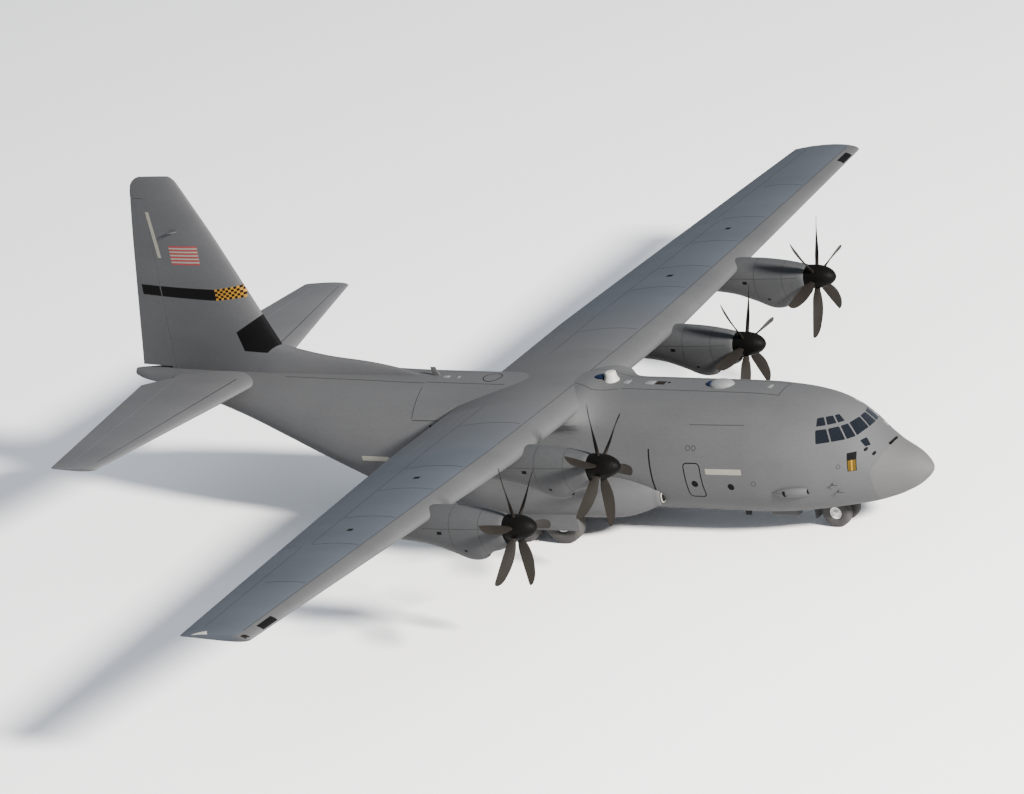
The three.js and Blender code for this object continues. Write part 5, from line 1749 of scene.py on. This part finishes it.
# %% The pilots' seats
CUSHIONS = {
    # side view, half width, crown
    "cushion": ([(2.990, 2.500), (3.480, 2.445), (3.480, 2.560), (2.990, 2.625)], 0.245, 0.050),
    "back": ([(3.450, 2.560), (3.555, 2.560), (3.675, 3.300), (3.590, 3.300)], 0.235, 0.045),
    "head": ([(3.575, 3.310), (3.680, 3.310), (3.695, 3.510), (3.600, 3.510)], 0.135, 0.035),
}
SEAT_BACK = [(3.560, 2.440), (3.580, 2.440), (3.705, 3.330), (3.685, 3.330)]
SEAT_PAN = [(2.990, 2.470), (3.570, 2.410), (3.570, 2.435), (2.990, 2.495)]
for name, x in (("left", 0.720), ("right", -0.720)):
    for part, (corners, half, crown) in CUSHIONS.items():
        pad = cushion(corners, x - half, x + half, crown, f"seat_{name}_{part}")
        mount(pad, *([f"pilot_seat_{name}"] if part == "cushion" else []), slot="seat_grey")
    shell_parts = [
        softened(side_prism(SEAT_BACK, x - 0.24, x + 0.24), 0.008),
        softened(side_prism(SEAT_PAN, x - 0.25, x + 0.25), 0.008),
        softened(block(x - 0.160, 3.080, 2.102, x + 0.160, 3.440, 2.440), 0.02),
    ]
    for arm in (x - 0.275, x + 0.275):
        shell_parts.append(softened(block(arm - 0.022, 3.080, 2.730, arm + 0.022, 3.520, 2.775), 0.012))
        shell_parts.append(softened(block(arm - 0.012, 3.480, 2.470, arm + 0.012, 3.550, 2.760), 0.005))
    fit(gather(*shell_parts), f"seat_{name}_frame", near_black, slot="seat_grey")
print("seats: 2")

# %% [markdown]
# ## Lines and patches on the skin
# Panel lines, hatch outlines and painted patches lie on curved surfaces. Each starts as a flat
# outline pushed through the aircraft, and keeps what lies between a slightly larger copy of the
# skin and a slightly smaller one. So it follows the curve exactly, and one pair of cuts makes all
# the lines of one colour.

# %% Sheets of a skin
seam_grey = finish("seam", (0.014, 0.0145, 0.0155), (0.010, 0.0105, 0.0115), (0.6, 0.8))
pale_strip = finish("pale strip", (0.145, 0.140, 0.118), (0.120, 0.116, 0.098), (0.6, 0.7))
cover_white = finish("white cover", (0.26, 0.255, 0.24), (0.22, 0.215, 0.20), (0.5, 0.6), broad=5)
painted_shadow_blue = finish("painted shadow, blue", (0.0015, 0.006, 0.024), (0.001, 0.004, 0.016), (0.5, 0.6), shine=0.1)
# Dark blue for the painted shadows behind the crown dome and the flared cover, with a painted sky reflection.
yellow = finish("yellow paint", (0.175, 0.085, 0.0028), (0.145, 0.070, 0.0023), (0.6, 0.7))
gold = finish("dark gold paint", (0.046, 0.028, 0.0008), (0.036, 0.021, 0.0006), (0.6, 0.7), shine=0.1)
dome_grey = finish("pale cover", (0.088, 0.093, 0.095), (0.074, 0.078, 0.080), (0.6, 0.7), broad=5)
red = finish("red paint", (0.150, 0.014, 0.018), (0.120, 0.011, 0.014), (0.6, 0.7))
SHEET = 0.003  # half the thickness of a sheet
WIDER = 1.7 * SHEET  # where a mark lies on another one


def sheet_of(name, over, under, zones, material, **place):
    """What lies between two skins and inside the zones."""
    piece = copy_of(over, name)
    keep(piece, gather(*zones))
    cut(piece, under)
    repaint(piece, material)
    mount(piece, **place)


def loop_bars(outer, inner):
    """The four-sided outlines between two outlines of equal count."""
    count = len(outer)
    return [[outer[i], outer[(i + 1) % count], inner[(i + 1) % count], inner[i]] for i in range(count)]


def rounded(s0, s1, z0, z1, radius, steps=3):
    """An outline with rounded corners."""
    points = []
    corners = [(s1 - radius, z1 - radius), (s0 + radius, z1 - radius)]
    corners += [(s0 + radius, z0 + radius), (s1 - radius, z0 + radius)]
    for quarter, (s, z) in enumerate(corners):
        for i in range(steps + 1):
            angle = math.radians(90 * quarter + 90 * i / steps)
            points.append((s + radius * math.cos(angle), z + radius * math.sin(angle)))
    return points


def circle(s, z, radius, steps=16):
    """A round outline."""
    angles = [2 * math.pi * i / steps for i in range(steps)]
    return [(s + radius * math.cos(angle), z + radius * math.sin(angle)) for angle in angles]


def side_patch(outline, side):
    """A flat outline pushed through one side of the fuselage."""
    return side_prism(outline, side * 0.7, side * 3)


def side_bar(s0, z0, s1, z1, side):
    """A level or upright bar on one side of the fuselage."""
    return side_patch([(s0, z0), (s1, z0), (s1, z1), (s0, z1)], side)


# %% Where the lines run
LINE = 0.026
CROWN = (4.2, 5.5)  # two heights with the whole crown between them
SMALL_RINGS = [(7.500, 3.330, 0.085), (7.300, 3.330, 0.085), (5.290, 2.200, 0.090), (2.500, 2.590, 0.070)]
PORTS = [(7.420, 2.150, 0.115), (6.130, 2.070, 0.115)]
NOSE_PORTS = [(1.750, 2.950, 0.050), (1.520, 2.790, 0.050)]
SEAMS = [
    # from, low, to, high
    (17.900, 3.990, 17.926, 4.700),
    (16.400, 3.940, 17.890, 3.965),
    (5.550, 3.960, 7.500, 3.975),
]
dark_zones, seam_zones, pale_zones, port_zones = [], [], [], []
for side in (-1, 1):
    frames = loop_bars(rounded(7.120, 7.740, 1.640, 2.880, 0.14), rounded(7.155, 7.705, 1.675, 2.845, 0.105))
    dark_zones += [side_patch(bar, side) for bar in frames]
    dark_zones.append(side_bar(8.915, 1.350, 8.965, 3.280, side))
    for s, z, radius in SMALL_RINGS:
        rings = loop_bars(circle(s, z, radius), circle(s, z, radius - 0.022))
        seam_zones += [side_patch(bar, side) for bar in rings]
    pale_zones.append(side_bar(5.650, 2.500, 6.940, 2.690, side))
    pale_zones.append(side_bar(18.820, 2.660, 19.880, 2.820, side))
    seam_zones += [side_bar(*seam, side) for seam in SEAMS]
    for offset, s0, s1 in ((0.455, 4.790, 10.560), (0.455, 14.900, 17.890), (0.500, 17.950, 23.400)):
        x0, x1 = sorted((side * offset, side * (offset + LINE)))
        seam_zones.append(block(x0, s0, CROWN[0], x1, s1, CROWN[1]))
    port_zones += [side_patch(circle(*port), side) for port in PORTS]
    port_zones.append(side_bar(16.900, 3.760, 17.200, 3.830, side))
    port_zones += [side_patch(circle(*port), side) for port in NOSE_PORTS]
seam_zones.append(block(-0.480, 4.750, CROWN[0], 0.480, 4.780, CROWN[1]))

# %% Lines and patches of the fuselage
over_skin, under_skin, wider_skin = (tube(grow) for grow in (SHEET, -SHEET, WIDER))
sheet_of("hatch_lines", over_skin, under_skin, dark_zones, near_black)
sheet_of("fuselage_seams", over_skin, under_skin, seam_zones, seam_grey)
sheet_of("formation_strips", over_skin, under_skin, pale_zones, pale_strip)
sheet_of("side_ports", over_skin, under_skin, port_zones, near_black)
sheet_of("nose_plate", over_skin, under_skin, [side_bar(1.970, 2.400, 2.240, 2.960, -1)], near_black)
sheet_of("nose_plate_band", wider_skin, under_skin, [side_bar(2.084, 2.415, 2.126, 2.740, -1)], yellow)
gold_bars = [side_bar(s0, 2.415, s1, 2.740, -1) for s0, s1 in ((1.992, 2.080), (2.130, 2.218))]
sheet_of("nose_plate_field", wider_skin, under_skin, gold_bars, gold)
hatch = [(math.sin(2 * math.pi * i / 24), math.cos(2 * math.pi * i / 24)) for i in range(24)]
outer, inner = ([(radius * a, 15.6 + radius * b) for a, b in hatch] for radius in (0.335, 0.305))
roof_hatch = [plan_prism(bar, *CROWN) for bar in loop_bars(outer, inner)]
sheet_of("roof_hatch_line", over_skin, under_skin, roof_hatch, near_black)
print("fuselage lines made")

# %% The line round the wing's fairing
over, under = (tool(swell_solid(grow)) for grow in (SHEET, -SHEET))
RIM = [(0.500, 12.160), (0.780, 11.420), (0.620, 10.960), (0.481, 10.560)]
rim_zones = []
for side in (-1, 1):
    for (x0, s0), (x1, s1) in zip(RIM, RIM[1:]):
        outline = [(side * x0, s0), (side * (x0 + LINE), s0), (side * (x1 + LINE), s1), (side * x1, s1)]
        rim_zones.append(plan_prism(outline, *CROWN))
sheet_of("wing_fairing_line", over, under, rim_zones, seam_grey)

# %% Light rings at the tips of the gear fairings
TIP_BANDS = [
    ("lens", 8.500, 8.782, near_black),
    ("ring", 8.784, 8.808, pale_strip),
    ("seam", 8.810, 8.826, near_black),
]
for side_name, side in SIDES:
    over, under = (tool(sponson_solid(side, grow)) for grow in (SHEET, -SHEET))
    for band_name, s0, s1, material in TIP_BANDS:
        sheet_of(f"tip_{band_name}_{side_name}", over, under, [block(-4, s0, 0.5, 4, s1, 2.5)], material)


# %% Lines on the wings
def upper_zone(corners, panel=WING):
    """A plan outline of (place along the span, share of the chord), over the upper side."""
    low = [panel_point(panel, u, c, 0) for u, c in corners]
    return prism(low, [point + Vector((0, 0, 0.6)) for point in low])


def wing_line(u0, u1, c, width=0.024):
    """A line along the span at a share of the chord."""
    first, last = (width / 2 / section_of(WING, u)[2] for u in (u0, u1))
    return upper_zone([(u0, c - first), (u1, c - last), (u1, c + last), (u0, c + first)])


def upper_box(u0, u1, c0, c1, panel=WING):
    """A patch between two places along the span and two shares of the chord."""
    return upper_zone([(u0, c0), (u1, c0), (u1, c1), (u0, c1)], panel)


over, under = (tool(aerofoil(WING, centre_spans, grow)) for grow in (SHEET, -SHEET))
lines = []
for side in (-1, 1):
    lines.append(wing_line(side * 0.52, side * 5.55, EDGE_SHARE))
    lines.append(wing_line(side * 2.2, side * 5.55, 0.665))
    lines.append(upper_box(side * 3.9, side * 3.922, 0.17, 0.65))
sheet_of("wing_centre_lines", over, under, lines, seam_grey, slot="wing_grey")
RIBS = (7.4, 9.2, 11.4, 13.5, 16.4)
CAPS = (8.3, 12.4)
for side_name, side in SIDES:
    over, under = (tool(aerofoil(WING, mirrored(outer_spans, side), grow)) for grow in (SHEET, -SHEET))
    lines = [wing_line(side * 5.62, side * end, c) for end, c in ((19.9, EDGE_SHARE), (13.4, 0.665))]
    lines += [upper_box(side * u, side * (u + 0.022), 0.17, 0.65) for u in RIBS]
    lines.append(wing_line(side * AILERON_SPAN[0], side * AILERON_SPAN[1], AILERON_HINGE - 0.030))
    sheet_of(f"wing_{side_name}_lines", over, under, lines, seam_grey, slot="wing_grey")
    marks = [upper_box(side * 18.74, side * 19.48, 0.002, 0.085)]
    marks += [upper_box(side * u, side * (u + 0.16), 0.40, 0.45) for u in CAPS]
    sheet_of(f"wing_{side_name}_marks", over, under, marks, near_black, slot="wing_grey")
    rear_lamp = upper_zone([(side * 20.180, 0.86), (side * 20.040, 0.62), (side * 20.190, 0.60)])
    sheet_of(f"wing_{side_name}_rear_lamp", over, under, [rear_lamp], cover_white, slot="wing_grey")
    front_lamp = upper_box(side * 20.09, side * 20.18, 0.002, 0.080)
    sheet_of(f"wing_{side_name}_front_lamp", over, under, [front_lamp], dark_brown, slot="wing_grey")
print("wing lines made")

# %% Lines on the tailplane
over, under = (tool(aerofoil(STABILIZER, tail_spans, grow)) for grow in (SHEET, -SHEET))
lines = [upper_box(u0, u1, 0.135, 0.145, STABILIZER) for u0, u1 in ((-7.6, -0.9), (0.9, 7.6))]
sheet_of("tailplane_lines", over, under, lines, seam_grey)

# %% Lines on the nacelles
for number, x, z, _ in ENGINES:
    over, under = (tool(nacelle_solid(x, z, nacelle_stations, shrink)) for shrink in (-SHEET, SHEET))
    lines = [block(x - 1, s, z - 1.3, x + 1, s + 0.020, z + 1) for s in (9.980, 11.000)]
    for s0, s1 in ((9.450, 9.975), (10.005, 10.995), (11.025, 12.000)):
        lines.append(block(x - 1, s0, z + 0.100, x + 1, s1, z + 0.118))
    sheet_of(f"nacelle_{number}_lines", over, under, lines, seam_grey)
    vents = [block(x - 1, 11.300, z - 0.080, x + 1, 11.460, z + 0.020)]
    vents.append(block(x - 1, 10.600, z - 0.720, x + 1, 10.700, z - 0.640))
    sheet_of(f"nacelle_{number}_vents", over, under, vents, near_black)
print("nacelle lines made")

# %% Marks on the fin and the rudder
FIN_BAND = [(25.700, 7.500), (25.700, 7.890), (27.940, 7.960), (27.940, 7.600)]
RUDDER_BAND = [(28.000, 7.602), (28.000, 7.962), (28.780, 7.990), (28.780, 7.640)]
CHECK_ROWS, CHECK_COLUMNS, CHECK_LONG = 5, 11, 0.106
STRIPES = 11
over, under, wider = (tool(aerofoil(FIN, fin_spans, grow)) for grow in (SHEET, -SHEET, WIDER))


def fin_mark(name, outlines, material, outside=over, **place):
    """Marks of one colour, on both sides of the fin."""
    sheet_of(name, outside, under, [side_prism(outline, -1, 1) for outline in outlines], material, **place)


def check_corner(column, row):
    """A corner of the checks, which rise a little towards the leading edge."""
    low, high = 7.500 + 0.009 * column, 7.890 + 0.012 * column
    return 25.695 - CHECK_LONG * column, low + (high - low) * row / CHECK_ROWS


def check(column, row, inset=0.0015):
    """One check, a little smaller than its place, so that no two touch."""
    corners = []
    for right, up in ((0, 0), (0, 1), (1, 1), (1, 0)):
        s, z = check_corner(column + right, row + up)
        corners.append((s + (2 * right - 1) * inset, z + (1 - 2 * up) * inset))
    return corners


field_corners = ((0, 0), (0, CHECK_ROWS), (CHECK_COLUMNS, CHECK_ROWS), (CHECK_COLUMNS, 0))
field = [check_corner(*corner) for corner in field_corners]
places = [(column, row) for column in range(CHECK_COLUMNS) for row in range(CHECK_ROWS)]
dark_checks = [check(column, row) for column, row in places if (column + row) % 2]
bars = []
for i in range(STRIPES):
    low, high = (8.750 + 0.670 * k / STRIPES for k in (i, i + 1))
    low, high = low + 0.004, high - 0.004
    bars.append([(26.060, low), (26.060, high), (27.230, high), (27.230, low)])
root_patch = [(25.150, 6.380), (24.140, 6.930), (23.290, 5.760), (23.360, 5.560), (24.960, 5.720)]
strip = [(27.640, 8.980), (27.780, 8.980), (27.920, 10.600), (27.780, 10.600)]
fin_mark("fin_band", [FIN_BAND], near_black)
fin_mark("rudder_band", [RUDDER_BAND], near_black, body="rudder")
fin_mark("fin_checks_yellow", [field], yellow)
fin_mark("fin_checks_dark", dark_checks, near_black, wider)
fin_mark("fin_stripes_red", bars[::2], red)
fin_mark("fin_stripes_pale", bars[1::2], pale_strip)
fin_mark("fin_root_patch", [root_patch], near_black)
fin_mark("fin_strip", [strip], pale_strip)
print("fin marks made:", len(dark_checks), "dark checks")

# %% [markdown]
# ## Fittings that stand out of the skin
# Domes, blade aerials, probes and the cooling scoop are small, but they give the plane its scale.
# A dome is a profile spun about an upright axis and then stretched to an oval.
# A blade is an outline with some thickness and softened edges.

# %% Domes
UPRIGHT = Vector((0, 0, 1))


def dome(name, s, half_x, half_s, height, material, over=0.0):
    """A cover on the crown, with a flat rim. The dark blue ones stand for painted shadows."""
    level = read_table(HULL, s)[2] + over - 0.012
    profile = [(0.0, -0.15), (1.05, -0.15), (1.05, 0.03), (1.0, 0.04)]
    for i in range(1, 13):
        angle = math.radians(7.5 * i)
        profile.append((math.cos(angle), 0.04 + 0.96 * math.sin(angle)))
    profile[-1] = (0.0, 1.0)
    bm = spun([(radius, off * height) for radius, off in profile], at(0, s, level), UPRIGHT, 48)
    stretch = Matrix.Diagonal((half_x, half_s, 1, 1))
    centre_place = Matrix.Translation(at(0, s, level))
    bmesh.ops.transform(bm, matrix=centre_place @ stretch @ centre_place.inverted(), verts=bm.verts)
    fit(bm, name, material, smooth=40)


dome("crown_dome", 7.040, 0.310, 0.430, 0.180, dome_grey)
# The two dark blue ovals are painted shadows: one behind the crown dome, one behind the flared cover.
dome("crown_dome_shadow", 7.430, 0.180, 0.140, 0.110, painted_shadow_blue)
dome("wing_root_cover_shadow", 11.460, 0.150, 0.210, 0.060, painted_shadow_blue, over=0.155)
dome("crown_plate_dome", 8.960, 0.050, 0.050, 0.040, near_black)

# %% The flared cover before the wing
FLARED = [
    (0.0, -0.060),
    (0.262, -0.060),
    (0.262, 0.030),
    (0.225, 0.090),
    (0.196, 0.180),
    (0.190, 0.270),
    (0.176, 0.305),
    (0.140, 0.325),
    (0.0, 0.330),
]
flared = spun(FLARED, at(0.0, 11.100, read_table(HULL, 11.1)[2]), UPRIGHT, 48)
fit(flared, "wing_root_cover", cover_white, smooth=50)

# %% Plates on the crown
CROWN_PLATES = [
    # from, to, half width, where its middle lies, finish
    (10.380, 10.600, 0.130, -0.05, dome_grey),
    (9.480, 9.800, 0.130, -0.05, dome_grey),
    (9.080, 9.400, 0.110, -0.05, dark_brown),
    (5.220, 5.360, 0.120, 0.00, dome_grey),
    (17.200, 17.450, 0.070, -0.10, dome_grey),
    (16.800, 16.900, 0.070, -0.10, dome_grey),
]
for i, (s0, s1, half, x, material) in enumerate(CROWN_PLATES):
    top = read_table(HULL, (s0 + s1) / 2)[2] + 0.016
    plate = softened(block(x - half, s0, top - 0.10, x + half, s1, top), 0.010)
    fit(plate, f"crown_plate_{i + 1}", material)


# %% Blade aerials
def blade_aerial(name, x, s0, s1, z0, z1, lean, material=side_grey):
    """A thin fin whose outline narrows away from the skin."""
    outline = [(s0, z0), (s1, z0), (s1 + lean, z1), (s0 + lean + (s1 - s0) * 0.35, z1)]
    bm = softened(side_prism(outline, x - 0.022, x + 0.022), 0.009, 3)
    fit(bm, name, material)


blade_aerial("crown_blade", 0.0, 17.600, 17.880, 4.780, 5.120, 0.06)
blade_aerial("belly_blade", -0.300, 6.560, 6.860, 0.720, 0.290, 0.04, seam_grey)
for side_name, side in SIDES:
    outline = [(26.620, side * 0.02), (27.060, side * 0.02), (27.040, side * 0.32), (26.860, side * 0.32)]
    blade_bm = plan_prism([(x, s) for s, x in outline], 9.915, 9.945)
    fit(softened(blade_bm, 0.006), f"fin_blade_{side_name}", side_grey)
belly_pod = softened(block(-0.800, 4.680, 0.480, -0.420, 5.700, 0.800), 0.10, 4)
fit(belly_pod, "belly_pod", side_grey)

# %% The cooling scoop low on the right side
SCOOP = [
    # station, half height, how far it stands out
    [3.560, 0.120, 0.115],
    [3.620, 0.150, 0.150],
    [3.900, 0.185, 0.185],
    [4.250, 0.170, 0.150],
    [4.550, 0.110, 0.070],
    [4.720, 0.050, 0.010],
]
SCOOP_LEVEL = 1.850
SCOOP_SIDES = 32
scoop_stations = spread(3.56, 4.72, 0.08)


def scoop_loft(stations, share, deep=0.12):
    """The scoop's body, scaled in section."""

    def point(s, angle):
        half, proud = read_table(SCOOP, min(max(s, 3.56), 4.72))
        out = share * proud * math.cos(angle) if math.cos(angle) > 0 else deep * math.cos(angle)
        level = SCOOP_LEVEL + share * half * math.sin(angle)
        return at(-hull_side(s, level) - out, s, level)

    return lofted(stations, SCOOP_SIDES, point)


scoop = piece_of(scoop_loft(scoop_stations, 1.0), "cooling_scoop", side_grey, 40)
mouth = piece_of(scoop_loft([3.552, 3.575, 3.600], 0.80, 0.02), "cooling_scoop_mouth", near_black, 40)
outlet_bm = scoop_loft([4.230, 4.260, 4.290, 4.320], 1.03, 0.02)
outlet = piece_of(outlet_bm, "cooling_scoop_outlet", near_black, 40)
keep(outlet, side_patch(rounded(4.20, 4.40, 1.740, 1.960, 0.04), -1))
for piece in (scoop, mouth, outlet):
    mount(piece)

# %% Probes on the nose
PROBES = [("upper", 2.770, 2.040), ("lower", 2.660, 1.760)]
AFT = Vector((0, SCALE, 0))
for side_name, side in SIDES:
    for place_name, s, z in PROBES:
        foot = side * hull_side(s, z)
        arm_end = at(foot + side * 0.10, s - 0.05, z)
        arm = rod(at(foot - side * 0.03, s, z), arm_end, 0.026, 0.018, 20)
        pipe = rod(arm_end + AFT * 0.04, arm_end - AFT * 0.20, 0.015, 0.010, 16)
        fit(gather(arm, pipe), f"probe_{side_name}_{place_name}", seam_grey)
latch = softened(block(-0.300, 1.170, 2.860, 0.200, 1.240, 2.925), 0.010)
fit(latch, "radome_latch", near_black, slot="radome_grey")

# %% The crew door's hinges
KNUCKLE = {"z": 1.112, "radius": 0.022, "pin": 0.009, "bore": 0.0115, "long": 0.150}
LUG = {"gap": 0.002, "long": 0.048, "pin_over": 0.056}
hinge_x = 0.040 + max(hull_side(s, KNUCKLE["z"]) for s in CREW_DOOR[1:3])


def on_axis(s0, s1, radius):
    """A round bar on the door's axis."""
    return rod(at(hinge_x, s0, KNUCKLE["z"]), at(hinge_x, s1, KNUCKLE["z"]), radius)


barrels, leaves, lugs, pins = [], [], [], []
for start in (4.460, 4.840):
    end = start + KNUCKLE["long"]
    barrels.append(on_axis(start, end, KNUCKLE["radius"]))
    leaves.append(block(hinge_x - 0.150, start, 1.122, hinge_x, end, 1.138))
    for s0 in (start - LUG["gap"] - LUG["long"], end + LUG["gap"]):
        lugs.append(on_axis(s0, s0 + LUG["long"], KNUCKLE["radius"]))
        lugs.append(block(hinge_x - 0.120, s0, 1.086, hinge_x, s0 + LUG["long"], 1.104))
    pins.append(on_axis(start - LUG["pin_over"], end + LUG["pin_over"], KNUCKLE["pin"]))
door_knuckles = piece_of(gather(*barrels), "crew_door_knuckles", bare_metal)
join(door_knuckles, gather(*leaves))
cut(door_knuckles, on_axis(4.3, 5.1, KNUCKLE["bore"]))
repaint(door_knuckles, bare_metal, angle=30)
mount(door_knuckles, body="crew_door")
fit(gather(*lugs), "crew_door_lugs", bare_metal)
fit(gather(*pins), "crew_door_pins", bare_metal)
print("fittings made")

# %% [markdown]
# ## Finishing
# The bodies that only cut are removed.

# %% Finish
for piece in tools:
    bpy.data.objects.remove(piece)
